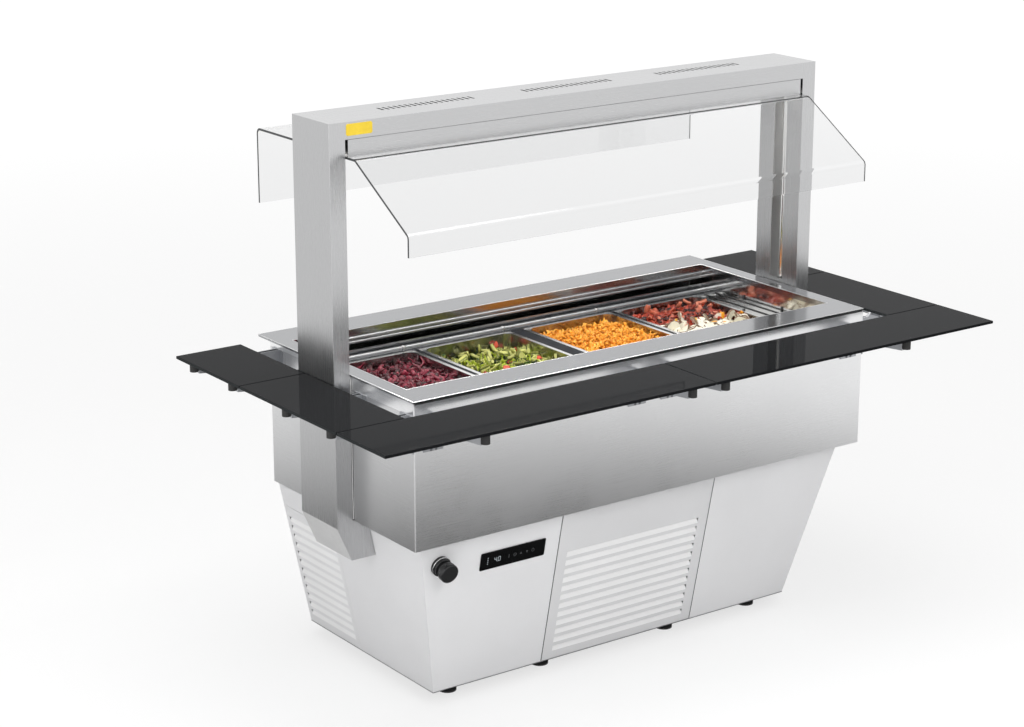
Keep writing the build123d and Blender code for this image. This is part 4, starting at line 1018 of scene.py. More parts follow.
class SALADBAR_OT_green_salad(bpy.types.Operator):
    """Fill the second pan with leaves, cucumber and tomato"""

    bl_idname = "saladbar.green_salad"
    bl_label = "Green Salad"

    def execute(self, context):
        food = context.scene.salad_bar.food
        # Leaves tint at random between leaf and a near-black deep: real differences in tone, and painted
        # shade in the gaps between leaves.
        dark_tone_and_shade, rib = (0.012, 0.026, 0.003), (0.6, 0.68, 0.14)
        leaf = food_finish("Salad Leaf", food.leaf, dark_tone_and_shade, 0.35, skin=rib, spread=(0.42, 0.58))
        flesh, peel = scaled(food.cucumber, 0.5), (0.04, 0.09, 0.012)
        pale = food_finish("Leaf Heart", food.cucumber, flesh, 0.3, skin=peel)
        tomato = food_finish("Tomato", food.tomato, scaled(food.tomato, 0.7), 0.15, coat=0.2)
        # Painted shade: the ground is nearly black, for the gaps between the leaves.
        ground = food_finish("Leaf Ground", scaled(food.leaf, 0.04), scaled(food.leaf, 0.02), 0.4)
        torn_leaf = leaf_piece("torn_leaf", (0.032, 0.022, 0.0016), cup=0.6, ruffle=0.2)
        cut_leaf = strip_piece("cut_leaf", (0.024, 0.013, 0.0022), bend=1.2, twist=0.9, wave=0.004)
        heart = leaf_piece("leaf_heart", (0.026, 0.013, 0.0016), cup=0.7, ruffle=0.2)
        wedge = slice_piece("cucumber_wedge", radius=0.015, thick=0.006, arc=1.7)
        dice = slice_piece("tomato_dice", radius=0.015, thick=0.011, arc=2.4, notch=0.2, cup=0.003)
        heap(
            food, "green_salad_heap", node="green_salad", pan="pan_2", body="green_salad_pan",
            slot="green_leaf", ground=ground, drop=(0.014, 0.02),
            layers=[
                layer(torn_leaf, leaf, spacing=0.0145, sizes=(0.7, 1.25), tilt=0.5, lift=0.006),
                layer(cut_leaf, leaf, spacing=0.02, sizes=(0.7, 1.2), tilt=0.6, lift=0.008),
                layer(heart, pale, spacing=0.021, sizes=(0.7, 1.2), tilt=0.6, lift=0.009),
                layer(wedge, pale, spacing=0.042, sizes=(0.8, 1.2), tilt=0.6, lift=0.009),
                layer(dice, tomato, spacing=0.075, sizes=(0.8, 1.2), tilt=0.5, lift=0.006),
            ],
        )
        return {"FINISHED"}


class SALADBAR_OT_carrot(bpy.types.Operator):
    """Fill the third pan with grated carrot"""

    bl_idname = "saladbar.carrot"
    bl_label = "Carrot Salad"

    def execute(self, context):
        food = context.scene.salad_bar.food
        flesh = food_finish("Grated Carrot", food.carrot, scaled(food.carrot, 0.8), 0.35)
        pale = food_finish("Pale Carrot", (1.0, 0.5, 0.08), (1.0, 0.4, 0.04), 0.35)
        # Painted shade: the ground is a darker orange than the shreds, for the gaps between them.
        ground = food_finish("Carrot Ground", scaled(food.carrot, 0.8), scaled(food.carrot, 0.55), 0.4)
        flake = strip_piece("carrot_flake", (0.015, 0.009, 0.003), bend=1.3, twist=1.0, wave=0.002, steps=3)
        shred = strip_piece("carrot_shred", (0.02, 0.006, 0.003), bend=1.4, twist=1.2, wave=0.003, steps=3)
        heap(
            food, "carrot_heap", node="carrot_salad", pan="pan_3", body="carrot_pan", slot="carrot",
            ground=ground, drop=(0.014, 0.006),
            layers=[
                layer(flake, flesh, spacing=0.0078, sizes=(0.7, 1.3), tilt=0.7, lift=0.005),
                layer(shred, flesh, spacing=0.0095, sizes=(0.7, 1.2), tilt=0.7, lift=0.007),
                layer(flake, pale, spacing=0.0095, sizes=(0.7, 1.3), tilt=0.7, lift=0.008),
            ],
        )
        return {"FINISHED"}


class SALADBAR_OT_antipasti(bpy.types.Operator):
    """Fill the fourth pan with grilled peppers at the rear and mushrooms at the front"""

    bl_idname = "saladbar.antipasti"
    bl_label = "Antipasti"

    def execute(self, context):
        food = context.scene.salad_bar.food
        charred = scaled(food.pepper, 0.07)
        pepper = food_finish("Grilled Pepper", food.pepper, charred, 0.2, coat=0.25, spread=(0.2, 0.8))
        rosy = food_finish("Dried Tomato", (0.72, 0.27, 0.17), (0.42, 0.07, 0.03), 0.3)
        yellow = food_finish("Yellow Pepper", (0.95, 0.55, 0.06), (0.8, 0.3, 0.02), 0.25)
        gills = scaled(food.mushroom, 0.8)
        flesh = food_finish("Mushroom", food.mushroom, gills, 0.4, skin=(0.2, 0.13, 0.08))
        # Painted shade: the ground is nearly black, for the gaps between the slices.
        ground = food_finish("Antipasti Ground", (0.035, 0.012, 0.01), (0.012, 0.006, 0.005), 0.3)
        roast = leaf_piece("roast_slice", (0.038, 0.022, 0.005), cup=0.55, ruffle=0.14)
        dried = leaf_piece("dried_slice", (0.03, 0.017, 0.005), cup=0.6, ruffle=0.18)
        bit = leaf_piece("yellow_bit", (0.026, 0.018, 0.005), cup=0.5, ruffle=0.14)
        cap = slice_piece(
            "mushroom_slice", radius=0.023, thick=0.006, arc=5.4, notch=0.1, cup=0.001, rim=0.96, steps=11
        )
        heap(
            food, "antipasti_heap", node="antipasti", pan="pan_4", body="antipasti_pan",
            slot="antipasti_mix", ground=ground, drop=(0.015, 0.0),
            layers=[
                layer(roast, pepper, spacing=0.0165, sizes=(0.75, 1.15), tilt=0.4, lift=0.008, patch="rear"),
                layer(dried, rosy, spacing=0.034, sizes=(0.75, 1.15), tilt=0.4, lift=0.011, patch="rear"),
                layer(cap, flesh, spacing=0.0165, sizes=(0.8, 1.15), tilt=0.22, lift=0.009, patch="front"),
                layer(bit, yellow, spacing=0.042, sizes=(0.7, 1.1), tilt=0.3, lift=0.009, patch="seam"),
            ],
            patches={
                "rear": lambda spot: float(spot.y > 0.05 - SEAM_SLANT * spot.x),
                "front": lambda spot: float(spot.y < 0.14 - SEAM_SLANT * spot.x),
                "seam": lambda spot: float(-0.1 < spot.y + SEAM_SLANT * spot.x < 0.28),
            },
        )
        return {"FINISHED"}


# Display

# Middle of the display, how far its face stands out, and how far a mark reaches above and into it
DISPLAY_X, DISPLAY_LEVEL, DISPLAY_PROUD = -0.4265, 0.419, 0.00315
MARK_ABOVE, MARK_IN = 0.0002, 0.0004
# Bars of the two figures, and each bar's place across and up and whether it lies flat
FIGURES = {"4": "bcfg", "0": "abcdef"}
BARS = {
    "a": (0.0, 1.0, True), "b": (0.5, 0.5, False), "c": (0.5, -0.5, False), "d": (0.0, -1.0, True),
    "e": (-0.5, -0.5, False), "f": (-0.5, 0.5, False), "g": (0.0, 0.0, True),
}
FIGURE_SHAPE, FIGURE_BAR = 0.52, 0.0015
FIGURE_PLACES = ((-0.058, "4"), (-0.046, "0"))
# The point between the figures: left edge, foot and size
POINT = (-0.0525, -0.0072, 0.0014)
# Lit dots beside the figures: left edge, foot of the highest, pitch and size
DOT_LEFT, DOT_FOOT, DOT_PITCH, DOT_SIZE, DOT_COUNT = -0.085, 0.008, 0.006, 0.0025, 4


def on_display(across, up, out):
    """A point above the face of the display, from its centre."""
    centre = on_front(DISPLAY_LEVEL) + ACROSS * DISPLAY_X + FRONT_OUT * DISPLAY_PROUD
    return centre + ACROSS * across + FRONT_UP * up + FRONT_OUT * out


def flat_mark(shape, *outline):
    """A thin raised mark on the display face, from (across, up) points."""
    slab(shape, *([on_display(*point, out) for point in outline] for out in (MARK_ABOVE, -MARK_IN)))


def square_mark(shape, left, foot, size):
    """A square dot."""
    right, top = left + size, foot + size
    flat_mark(shape, (left, foot), (right, foot), (right, top), (left, top))


def bar_mark(shape, across, up, flat, long, thick):
    """A segment of a figure."""
    half, tip, side = long / 2 - thick * 0.6, long / 2 - thick * 0.1, thick / 2
    points = [(-tip, 0), (-half, side), (half, side), (tip, 0), (half, -side), (-half, -side)]
    flat_mark(shape, *((across + x, up + y) if flat else (across + y, up + x) for x, y in points))


def ring_mark(shape, across, up, radius, thick, steps=16):
    """A ring, drawn as a row of small segments."""
    outer, inner = radius + thick / 2, radius - thick / 2
    for step in range(steps):
        start, stop = step * tau / steps, (step + 1) * tau / steps
        points = ((outer, start), (outer, stop), (inner, stop), (inner, start))
        flat_mark(shape, *((across + r * sin(a), up + r * cos(a)) for r, a in points))


class SALADBAR_OT_readout(bpy.types.Operator):
    """Light the temperature figures and the touch marks on the display"""

    bl_idname = "saladbar.readout"
    bl_label = "Display Readout"

    def execute(self, context):
        tall = context.scene.salad_bar.fitting.digit_height
        wide = tall * FIGURE_SHAPE
        figures = bmesh.new()
        for place, figure in FIGURE_PLACES:
            for bar in FIGURES[figure]:
                x, y, flat = BARS[bar]
                long = wide if flat else tall / 2
                bar_mark(figures, place + x * wide, y * tall / 2, flat, long, FIGURE_BAR)
        square_mark(figures, *POINT)
        for row in range(DOT_COUNT):
            square_mark(figures, DOT_LEFT, DOT_FOOT - row * DOT_PITCH, DOT_SIZE)
        bright = ((0.62, 0.7, 0.76), (0.8, 0.86, 0.9))
        glow = lit_mark("Display Figures", (0.03, 0.035, 0.04), rough=0.4, strength=0.5, glow=bright)
        fit("display_figures", figures, glow, "cabinet", "display_glass")

        marks = bmesh.new()
        bar_mark(marks, across=-0.014, up=0.0, flat=False, long=0.013, thick=0.002)
        ring_mark(marks, across=0.006, up=0.0, radius=0.0045, thick=0.0014)
        bar_mark(marks, across=0.006, up=0.0, flat=True, long=0.005, thick=0.0012)
        flat_mark(marks, (0.022, -0.003), (0.026, 0.004), (0.03, -0.003))
        flat_mark(marks, (0.042, 0.003), (0.05, 0.003), (0.046, -0.004))
        ring_mark(marks, across=0.066, up=0.0, radius=0.0045, thick=0.0012)
        bar_mark(marks, across=0.066, up=0.004, flat=False, long=0.006, thick=0.0014)
        faint = ((0.6, 0.64, 0.66), (0.8, 0.82, 0.84))
        dim = lit_mark("Display Marks", (0.02, 0.022, 0.024), rough=0.5, strength=0.05, glow=faint)
        fit("display_marks", marks, dim, "cabinet", "display_glass")
        return {"FINISHED"}


# Fittings and trim

# Label plate: middle across and up, thickness and corner
LABEL_X, LABEL_LEVEL, LABEL_THICK, LABEL_CORNER = -0.7435, 1.584, 0.0006, 0.0025
# Pegs on the end walls of the well: half the well's width, and the pegs' sink, foot and places along a wall
WELL_HALF, PEG_SINK, PEG_FOOT, PEG_PLACES = 0.7378, 0.0003, 0.858, (0.0406, 0.212)
# The round rear rail of the well and the places of its clips
RAIL_Y, RAIL_LEVEL, RAIL_RADIUS, CLIP_PLACES = 0.399, 0.852, 0.008, (-0.383, -0.036, 0.31)
# How far a clip's inner face, edge and outer face stand off the rail, and the width of its broken edge
CLIP_FACES, CLIP_EDGE = (0.0002, 0.0006, 0.002), 0.001
# The black strip under the frame, painted shade for the shadow under its front lip: how far its ends stay
# back, its height, its reach out of the skirt and into it
SHADE_STRIP_BACK, SHADE_STRIP_HEIGHT, SHADE_STRIP_PROUD, SHADE_STRIP_IN = 0.004, 0.0032, 0.0006, 0.0004
# Dark strips on the end ledges of the well, painted shade for the dark band beside the end walls: middle and
# half width, front and rear end, foot and top
LEDGE_X, LEDGE_HALF = 0.718, 0.004
LEDGE_FRONT, LEDGE_REAR = -0.1145, 0.371
LEDGE_FOOT, LEDGE_TOP = 0.8438, 0.8454
# How far the ground edges stand out of the guard glass
GROUND_EDGE = 0.0004
# Rounded edges of the frame: how far they stand proud, and the radius outside and in the opening
EDGE_PROUD, EDGE_OUTSIDE, EDGE_INSIDE = 0.0003, 0.0014, 0.0012
# Beside a column: middle from the skirt, half widths of gasket and trim, and their faces from the column's
GASKET_OUT, GASKET_HALF, TRIM_HALF = 0.0025, 0.0024, 0.0011
GASKET_FACES, TRIM_FACES = (-0.0004, 0.0002), (-0.0008, -0.0002)
# How far a gasket ends from the skirt's foot and top, and a trim from the gasket's
GASKET_BACK, TRIM_BACK = (0.002, 0.004), (0.003, 0.001)
# Half width and half thickness of a panel joint, its room beside the panel, and how far its ends stay back
JOINT_HALF, JOINT_DEEP, JOINT_ROOM, JOINT_BACK = 0.0011, 0.0003, 0.0001, 0.001
# Brush lines across one metre of a small turned part
FINE_GRAIN = 600.0
# How far the ring under the knob stands out of the middle of the rosette, and its section
RING_OUT = 0.0042
RING_SECTION = [(0.0262, -0.001), (0.0284, -0.001), (0.0288, 0.0), (0.0284, 0.001), (0.0262, 0.0012)]
# Louvres: middle of the first one above the foot, pitch, height and number
LOUVRE_FIRST, LOUVRE_PITCH, LOUVRE_SLOT, LOUVRE_COUNT = 0.034, 0.028, 0.017, 12
# Half width of the service grille's louvres, and the closed margin of a side grille
SERVICE_LOUVRE_HALF, SIDE_LOUVRE_MARGIN = 0.235, 0.014
# A blade in a louvre: room under and over it, how far its top leans in, cut corners, depths of its two faces
BLADE_UNDER, BLADE_OVER = 0.0003, 0.0004
BLADE_LEAN, BLADE_CUT, BLADE_FACES = 0.0043, 0.006, (0.0002, 0.001)
# Rows of screws: height above or under the panel's edge, and reach to each side; and the number in a row
SCREW_ROWS, SCREW_COUNT = (("foot", 0.02, 0.6), ("top", -0.05, 0.68)), 9


class SALADBAR_OT_label_plate(bpy.types.Operator):
    """Fix the bare label plate to the left end of the beam"""

    bl_idname = "saladbar.label_plate"
    bl_label = "Label Plate"

    def execute(self, context):
        size = context.scene.salad_bar.fitting
        finish = Finish("Label Foil", coat_weight=0.3, coat_roughness=0.2)
        clouds = finish.speckle(finish.place(), 120.0, 4.0)
        finish.feed("Base Color", finish.tone(clouds, (0.78, 0.55, 0.02), (0.86, 0.62, 0.03)))
        finish.feed("Roughness", finish.between(clouds, 0.3, 0.42))
        shape = bmesh.new()
        scale = Matrix.Diagonal((size.label_width, LABEL_THICK, size.label_height, 1.0))
        bmesh.ops.create_cube(shape, size=1.0, matrix=scale)
        runs = [(edge, abs(edge.verts[0].co.y - edge.verts[1].co.y)) for edge in shape.edges]
        through = [edge for edge, run in runs if run > LABEL_THICK / 2]
        bmesh.ops.bevel(shape, geom=through, offset=LABEL_CORNER, segments=4, affect="EDGES")
        place = (LABEL_X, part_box("gantry_beam")[0].y - LABEL_THICK / 2, LABEL_LEVEL)
        bmesh.ops.translate(shape, verts=shape.verts, vec=place)
        fit("label_plate", shape, finish.material, "cabinet", "light_panel")
        return {"FINISHED"}


class SALADBAR_OT_well_fittings(bpy.types.Operator):
    """Set the pegs in the ends of the well and the clips on the rear rail"""

    bl_idname = "saladbar.well_fittings"
    bl_label = "Well Pegs and Rail Clips"

    def execute(self, context):
        size = context.scene.salad_bar.fitting
        black = coated("Peg Plastic", (0.02, 0.02, 0.021), 0.4)
        r, tall = size.peg_radius, size.peg_length
        tip = [(r, tall - 0.002), (r * 0.6, tall - 0.0004), (0, tall)]
        peg = lathe([(0, 0), (r * 0.8, 0), (r, 0.0006), *tip])
        wall = WELL_HALF - r + PEG_SINK
        places = [(Vector((side * wall, y, PEG_FOOT)), UP) for side in (-1, 1) for y in PEG_PLACES]
        fittings("well_pegs", peg, places, black, "cabinet", "black_plastic")

        grey = steel("Clip Steel", scaled(context.scene.salad_bar.steel.polished, 0.45), 0.25, FINE_GRAIN)
        half = size.clip_width / 2
        flank = half - CLIP_EDGE
        inner, edge, outer = (RAIL_RADIUS + off for off in CLIP_FACES)
        outside = [(edge, -half), (outer, -flank), (outer, flank), (edge, half)]
        clip = hoop([*outside, (inner, half), (inner, -half)])
        places = [(Vector((x, RAIL_Y, RAIL_LEVEL)), ACROSS) for x in CLIP_PLACES]
        fittings("rail_clips", clip, places, grey, "cabinet", "polished_steel")
        return {"FINISHED"}


class SALADBAR_OT_shade_strips(bpy.types.Operator):
    """Lay black strips under the frame and along the ledges of the well, as painted shade"""

    bl_idname = "saladbar.seals"
    bl_label = "Frame and Ledge Shade Strips"

    def execute(self, context):
        # Painted shade: black strips stand where shadow lies under the frame's front lip and beside the end
        # walls.
        rubber = coated("Seal Rubber", (0.012, 0.012, 0.013), 0.6)
        low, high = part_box("skirt")
        foot = (low.x + SHADE_STRIP_BACK, low.y - SHADE_STRIP_PROUD, high.z - SHADE_STRIP_HEIGHT)
        shade_strip = bmesh.new()
        strip(shade_strip, foot, (high.x - SHADE_STRIP_BACK, low.y + SHADE_STRIP_IN, high.z))
        fit("frame_seal", shade_strip, rubber, "cabinet", "black_rubber")
        ledges = twin_strips(LEDGE_X, LEDGE_HALF, LEDGE_FRONT, LEDGE_REAR, LEDGE_FOOT, LEDGE_TOP)
        fit("ledge_seals", ledges, rubber, "cabinet", "black_rubber")
        return {"FINISHED"}


class SALADBAR_OT_glass_edges(bpy.types.Operator):
    """Put the dark ground edges on the ends of the guard glass"""

    bl_idname = "saladbar.glass_edges"
    bl_label = "Guard Glass Edges"

    def execute(self, context):
        dark = coated("Ground Edge", (0.045, 0.048, 0.05), 0.5)
        shape = bmesh.new()
        for node in ("front_guard_glass", "rear_guard_glass"):
            shape.from_mesh(nodes[node].data)
        bmesh.ops.remove_doubles(shape, verts=shape.verts, dist=1e-6)
        shape.normal_update()
        others = [face for face in shape.faces if abs(face.normal.x) < 0.9]
        bmesh.ops.delete(shape, geom=others, context="FACES")
        raised = bmesh.ops.extrude_face_region(shape, geom=shape.faces[:], use_keep_orig=True)["geom"]
        for vert in (part for part in raised if isinstance(part, bmesh.types.BMVert)):
            vert.co.x += copysign(GROUND_EDGE, vert.co.x)
        fit("guard_edges", shape, dark, "canopy", "black_plastic")
        return {"FINISHED"}


def square_hoop(shape, low, high, level, radius, outside, steps=10):
    """A rounded edge round a rectangle, lying on its outer or its inner side."""
    middle = EDGE_PROUD - radius if outside else radius - EDGE_PROUD
    rings = []
    for side_x, side_y in ((-1, -1), (1, -1), (1, 1), (-1, 1)):
        x = high.x if side_x > 0 else low.x
        y = high.y if side_y > 0 else low.y
        ring = []
        for turn in (step * tau / steps for step in range(steps)):
            out = middle + radius * cos(turn)
            height = level + EDGE_PROUD - radius + radius * sin(turn)
            ring.append(shape.verts.new((x + side_x * out, y + side_y * out, height)))
        rings.append(ring)
    bridge(shape, rings, closed=True)


class SALADBAR_OT_edge_trim(bpy.types.Operator):
    """Round the edges of the frame, in a lighter steel than the frame as a painted highlight, and close the
    joints beside the columns
    """

    bl_idname = "saladbar.edge_trim"
    bl_label = "Frame Edges and Column Joints"

    def execute(self, context):
        look = context.scene.salad_bar.steel
        # Painted highlight: the frame's rounded edges take the skirt's lighter steel, not the frame's.
        bright = steel("Edge Steel", look.brushed, 0.25, look.grain)
        low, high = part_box("top_frame")
        edges = bmesh.new()
        square_hoop(edges, low, Vector((high.x, high.y - EDGE_PROUD)), high.z, EDGE_OUTSIDE, outside=True)
        near, far = Vector((-OPENING_HALF, OPENING_FRONT)), Vector((OPENING_HALF, OPENING_REAR))
        square_hoop(edges, near, far, high.z, EDGE_INSIDE, outside=False)
        fit("frame_edges", edges, bright, "cabinet", "brushed_steel", smooth=True)

        dark = coated("Gasket Rubber", (0.03, 0.03, 0.031), 0.6)
        pale = coated("Gasket Trim", (0.86, 0.86, 0.86), 0.4)
        low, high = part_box("skirt")
        foot, top = low.z + GASKET_BACK[0], high.z - GASKET_BACK[1]
        middle = high.x + GASKET_OUT
        faces = (COLUMN_FRONT + depth for depth in GASKET_FACES)
        gaskets = twin_strips(middle, GASKET_HALF, *faces, foot, top)
        fit("column_gaskets", gaskets, dark, "cabinet", "black_rubber")
        faces = (COLUMN_FRONT + depth for depth in TRIM_FACES)
        trims = twin_strips(middle, TRIM_HALF, *faces, foot + TRIM_BACK[0], top - TRIM_BACK[1])
        fit("column_trims", trims, pale, "cabinet", "light_panel")
        return {"FINISHED"}


class SALADBAR_OT_panel_trim(bpy.types.Operator):
    """Set the joint strips beside the service grille and the ring under the knob"""

    bl_idname = "saladbar.panel_trim"
    bl_label = "Panel Joints and Knob Ring"

    def execute(self, context):
        rubber = coated("Joint Rubber", (0.05, 0.05, 0.052), 0.6)
        low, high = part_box("front_left_panel")
        foot, top = on_front(low.z + JOINT_BACK), on_front(high.z - JOINT_BACK)
        middle = abs(high.x) + JOINT_ROOM + JOINT_HALF
        joints = twin_strips(middle, JOINT_HALF, -JOINT_DEEP, JOINT_DEEP, 0.0, (top - foot).length)
        set_down(joints, Matrix.Rotation(BASE_LEAN, 3, "X"), foot)
        fit("panel_joints", joints, rubber, "cabinet", "black_rubber")

        bright = steel("Ring Steel", context.scene.salad_bar.steel.brushed, 0.22, FINE_GRAIN)
        ring = hoop(RING_SECTION, 48)
        low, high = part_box("knob_rosette")
        turn = UP.rotation_difference(FRONT_OUT).to_matrix()
        set_down(ring, turn, (low + high) / 2 + FRONT_OUT * RING_OUT)
        fit("knob_ring", ring, bright, "cabinet", "polished_steel", smooth=True)
        return {"FINISHED"}


def louvre_blade(half, across, up, out):
    """A louvre blade about its middle: it leans in at the top, and its upper corners are cut back."""
    low, high = BLADE_UNDER - LOUVRE_SLOT / 2, LOUVRE_SLOT / 2 - BLADE_OVER
    shoulder, end = low + BLADE_CUT, half - BLADE_CUT
    outline = [(-half, low), (half, low), (half, shoulder), (end, high), (-end, high), (-half, shoulder)]

    def face(depth):
        """The blade's outline at a depth behind the panel."""
        leans = [depth + BLADE_LEAN * (v - low) / (high - low) for _, v in outline]
        return [across * u + up * v - out * lean for (u, v), lean in zip(outline, leans)]

    shape = bmesh.new()
    slab(shape, *(face(depth) for depth in BLADE_FACES))
    return shape


class SALADBAR_OT_louvres(bpy.types.Operator):
    """Fit the blades into the louvres of the service grille and the side grilles, painted white as painted
    light
    """

    bl_idname = "saladbar.louvres"
    bl_label = "Louvre Blades"

    def execute(self, context):
        # Painted light: the blades are whiter than the panel coat, as if more lit.
        white = coated("Louvre Coat", (0.97, 0.97, 0.97), 0.4)
        rises = [LOUVRE_FIRST + row * LOUVRE_PITCH for row in range(LOUVRE_COUNT)]

        def blades(name, body, half, foot, across, up, out):
            """A blade in each louvre up a leaning panel."""
            shape = louvre_blade(half, across, up, out)
            places = [(foot + up * rise, UP) for rise in rises]
            fittings(name, shape, places, white, body, "light_panel", smooth=False)

        front = (FRONT_FOOT, ACROSS, FRONT_UP, FRONT_OUT)
        blades("service_louvres", "service_cover", SERVICE_LOUVRE_HALF, *front)
        for side, name in ((-1, "left"), (1, "right")):
            low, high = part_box(f"{name}_side_grille")
            half = (high.y - low.y) / 2 - SIDE_LOUVRE_MARGIN
            foot = Vector((side * BASE_HALF, (low.y + high.y) / 2, FRONT_FOOT.z))
            up = Vector((side * sin(BASE_LEAN), 0.0, cos(BASE_LEAN)))
            out = Vector((side * cos(BASE_LEAN), 0.0, -sin(BASE_LEAN)))
            blades(f"{name}_louvres", "cabinet", half, foot, REARWARD * side, up, out)
        return {"FINISHED"}


class SALADBAR_OT_screws(bpy.types.Operator):
    """Screw down the back panel"""

    bl_idname = "saladbar.screws"
    bl_label = "Back Panel Screws"

    def execute(self, context):
        r = context.scene.salad_bar.fitting.screw_radius
        finish = steel("Screw Steel", context.scene.salad_bar.steel.polished, 0.25, FINE_GRAIN)
        recess = [(0, 0.0012), (r * 0.35, 0.0012), (r * 0.45, 0.0026)]
        screw = lathe([*recess, (r * 0.8, 0.0022), (r, 0.001), (r, -0.0003), (0, -0.0003)], 14)
        low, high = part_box("back_panel")
        levels = {"foot": low.z, "top": high.z}
        half = (SCREW_COUNT - 1) / 2
        places = [
            (Vector((reach * (step / half - 1), high.y, levels[edge] + rise)), REARWARD)
            for edge, rise, reach in SCREW_ROWS
            for step in range(SCREW_COUNT)
        ]
        fittings("back_panel_screws", screw, places, finish, "cabinet", "polished_steel")
        return {"FINISHED"}


# Studio

# Half size of the floor, and its glow near the object and far from it with the reach of each
FLOOR_HALF = 30.0
FLOOR_GLOW, FLOOR_REACH = (0.71, 0.9), (2.0, 9.0)
# The mirrored mat, whose dark middle is a painted shadow of the object on the floor: middle, radius, and the
# reach between which it turns from dark to white
MAT_PLACE, MAT_RADIUS, MAT_REACH = (0.0, 0.13, 0.004), 3.6, (1.6, 2.9)


def stage_sheet(name, shape, material):
    """A sheet of the studio, which isn't part of the object."""
    mesh = bpy.data.meshes.new(name)
    shape.to_mesh(mesh)
    shape.free()
    sheet = made(name, mesh, material)
    return sheet


def studio_floor(look):
    """A pale floor that keeps the object's shadow and is white where the camera or a mirror sees it."""
    finish = Finish("Studio Floor", roughness=0.9, specular_ior_level=0.0, emission_color=WHITE)
    soft = finish.speckle(finish.place(), 0.6, 2.0)
    shown = finish.seen()
    lit = finish.tone(soft, scaled(look.floor, 0.99), look.floor)
    finish.feed("Base Color", finish.mixed(shown, lit, scaled(look.floor, 0.3)))
    glow = finish.between(finish.length_of(finish.place()), *FLOOR_GLOW, *FLOOR_REACH)
    finish.feed("Emission Strength", finish.maths("MULTIPLY", shown, glow))
    ground = bmesh.new()
    bmesh.ops.create_grid(ground, x_segments=2, y_segments=2, size=FLOOR_HALF)
    stage_sheet("studio_floor", ground, finish.material)


def studio_mat(look):
    """A round mat that only metal and glass mirror: dark beside the object as a painted shadow on the floor,
    white further out.
    """
    finish = Finish(
        "studio_mat", roughness=1.0, specular_ior_level=0.0, base_color=BLACK, emission_color=WHITE
    )
    level = finish.between(finish.length_of(finish.place()), look.mat, 1.0, *MAT_REACH)
    finish.feed("Emission Strength", level)
    shape = bmesh.new()
    place = Matrix.Translation(MAT_PLACE)
    bmesh.ops.create_circle(shape, cap_ends=True, segments=64, radius=MAT_RADIUS, matrix=place)
    mat = stage_sheet("studio_mat", shape, finish.material)
    for kind in ("camera", "diffuse", "shadow", "transmission", "volume_scatter"):
        setattr(mat, f"visible_{kind}", False)


def studio_world(scene, look):
    """Even white light, at full strength where the camera or a mirror sees it."""
    scene.world = bpy.data.worlds.new("Studio")
    scene.world.use_nodes = True
    sky = NodeMaker(scene.world.node_tree)
    background = sky.tree.nodes["Background"].inputs
    background["Color"].default_value = WHITE
    sky.give(background["Strength"], sky.between(sky.seen(), look.ambient, 1.0, 0.0, 1.0))


def placed(scene, name, data, place):
    """A lamp or camera in the scene."""
    holder = bpy.data.objects.new(name, data)
    scene.collection.objects.link(holder)
    holder.location = place
    return holder


def softbox(scene, name, place, aim, size, energy, mirrored=True):
    """A large soft lamp aimed at a height over the middle of the floor; metal mirrors it or not."""
    lamp = bpy.data.lights.new(name, "AREA")
    lamp.shape = "RECTANGLE"
    lamp.size, lamp.size_y = size
    lamp.energy = energy
    holder = placed(scene, name, lamp, place)
    holder.visible_glossy = mirrored
    holder.rotation_euler = (UP * aim - Vector(place)).to_track_quat("-Z", "Y").to_euler()


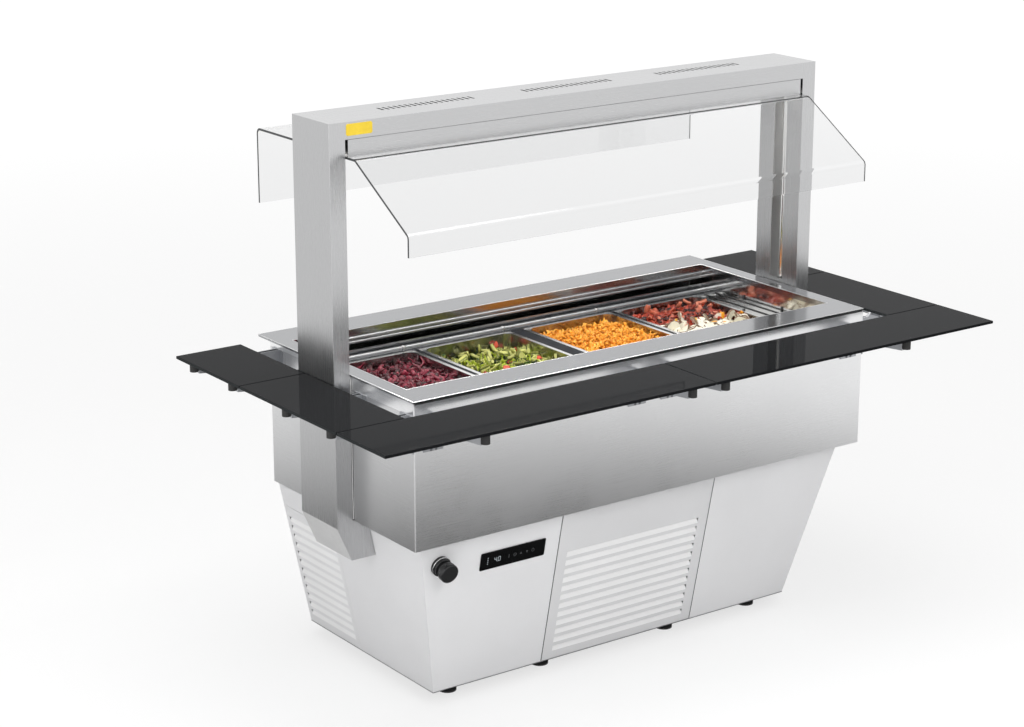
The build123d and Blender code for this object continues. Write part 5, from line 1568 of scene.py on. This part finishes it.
class SALADBAR_OT_stage(bpy.types.Operator):
    """Set up the floor, the soft light and the camera"""

    bl_idname = "saladbar.stage"
    bl_label = "Studio Stage"

    def execute(self, context):
        scene = context.scene
        look = scene.salad_bar.stage
        scene.view_settings.view_transform = "Standard"
        studio_floor(look)
        studio_mat(look)
        studio_world(scene, look)
        softbox(scene, "top_softbox", (-0.4, -0.6, 4.2), aim=0.9, size=(4.0, 3.0), energy=130.0)
        softbox(scene, "left_softbox", (-4.2, -1.2, 2.2), aim=0.9, size=(2.2, 2.6), energy=42.0)
        front = (-1.0, -4.4, 3.6)
        softbox(scene, "front_softbox", front, aim=0.4, size=(3.0, 2.0), energy=62.0, mirrored=False)
        camera = bpy.data.cameras.new("photo_camera")
        camera.lens = look.lens
        camera.sensor_width = 36.0
        camera.clip_end = 100.0
        scene.camera = placed(scene, "photo_camera", camera, look.place)
        scene.camera.rotation_euler = (pi / 2 - look.tilt, 0.0, -look.azimuth)
        return {"FINISHED"}


class SALADBAR_PT_panel(bpy.types.Panel):
    """Salad bar pieces in the order they are made"""

    bl_idname = "SALADBAR_PT_panel"
    bl_label = "Salad Bar"
    bl_space_type = "VIEW_3D"
    bl_region_type = "UI"
    bl_category = "Salad Bar"

    def draw(self, context):
        settings = context.scene.salad_bar
        for step in STEPS:
            self.layout.operator(step.bl_idname)
        for group in (settings.steel, settings.food, settings.fitting, settings.stage):
            column = self.layout.column()
            for name in group.__annotations__:
                column.prop(group, name)


STEPS = (
    SALADBAR_OT_finishes,
    SALADBAR_OT_beetroot,
    SALADBAR_OT_green_salad,
    SALADBAR_OT_carrot,
    SALADBAR_OT_antipasti,
    SALADBAR_OT_readout,
    SALADBAR_OT_label_plate,
    SALADBAR_OT_well_fittings,
    SALADBAR_OT_shade_strips,
    SALADBAR_OT_glass_edges,
    SALADBAR_OT_edge_trim,
    SALADBAR_OT_panel_trim,
    SALADBAR_OT_louvres,
    SALADBAR_OT_screws,
    SALADBAR_OT_stage,
)
SETTINGS = (SteelSettings, FoodSettings, FittingSettings, StageSettings, SaladBarSettings)
CLASSES = (*SETTINGS, *STEPS, SALADBAR_PT_panel)


def register():
    """Make the settings, the operators and the panel known to Blender."""
    for kind in CLASSES:
        bpy.utils.register_class(kind)
    bpy.types.Scene.salad_bar = PointerProperty(type=SaladBarSettings)


def unregister():
    """Take them away again."""
    del bpy.types.Scene.salad_bar
    for kind in reversed(CLASSES):
        bpy.utils.unregister_class(kind)


def main():
    """Build everything in order."""
    register()
    for step in STEPS:
        group, name = step.bl_idname.split(".")
        getattr(getattr(bpy.ops, group), name)()


if __name__ == "__main__":
    main()
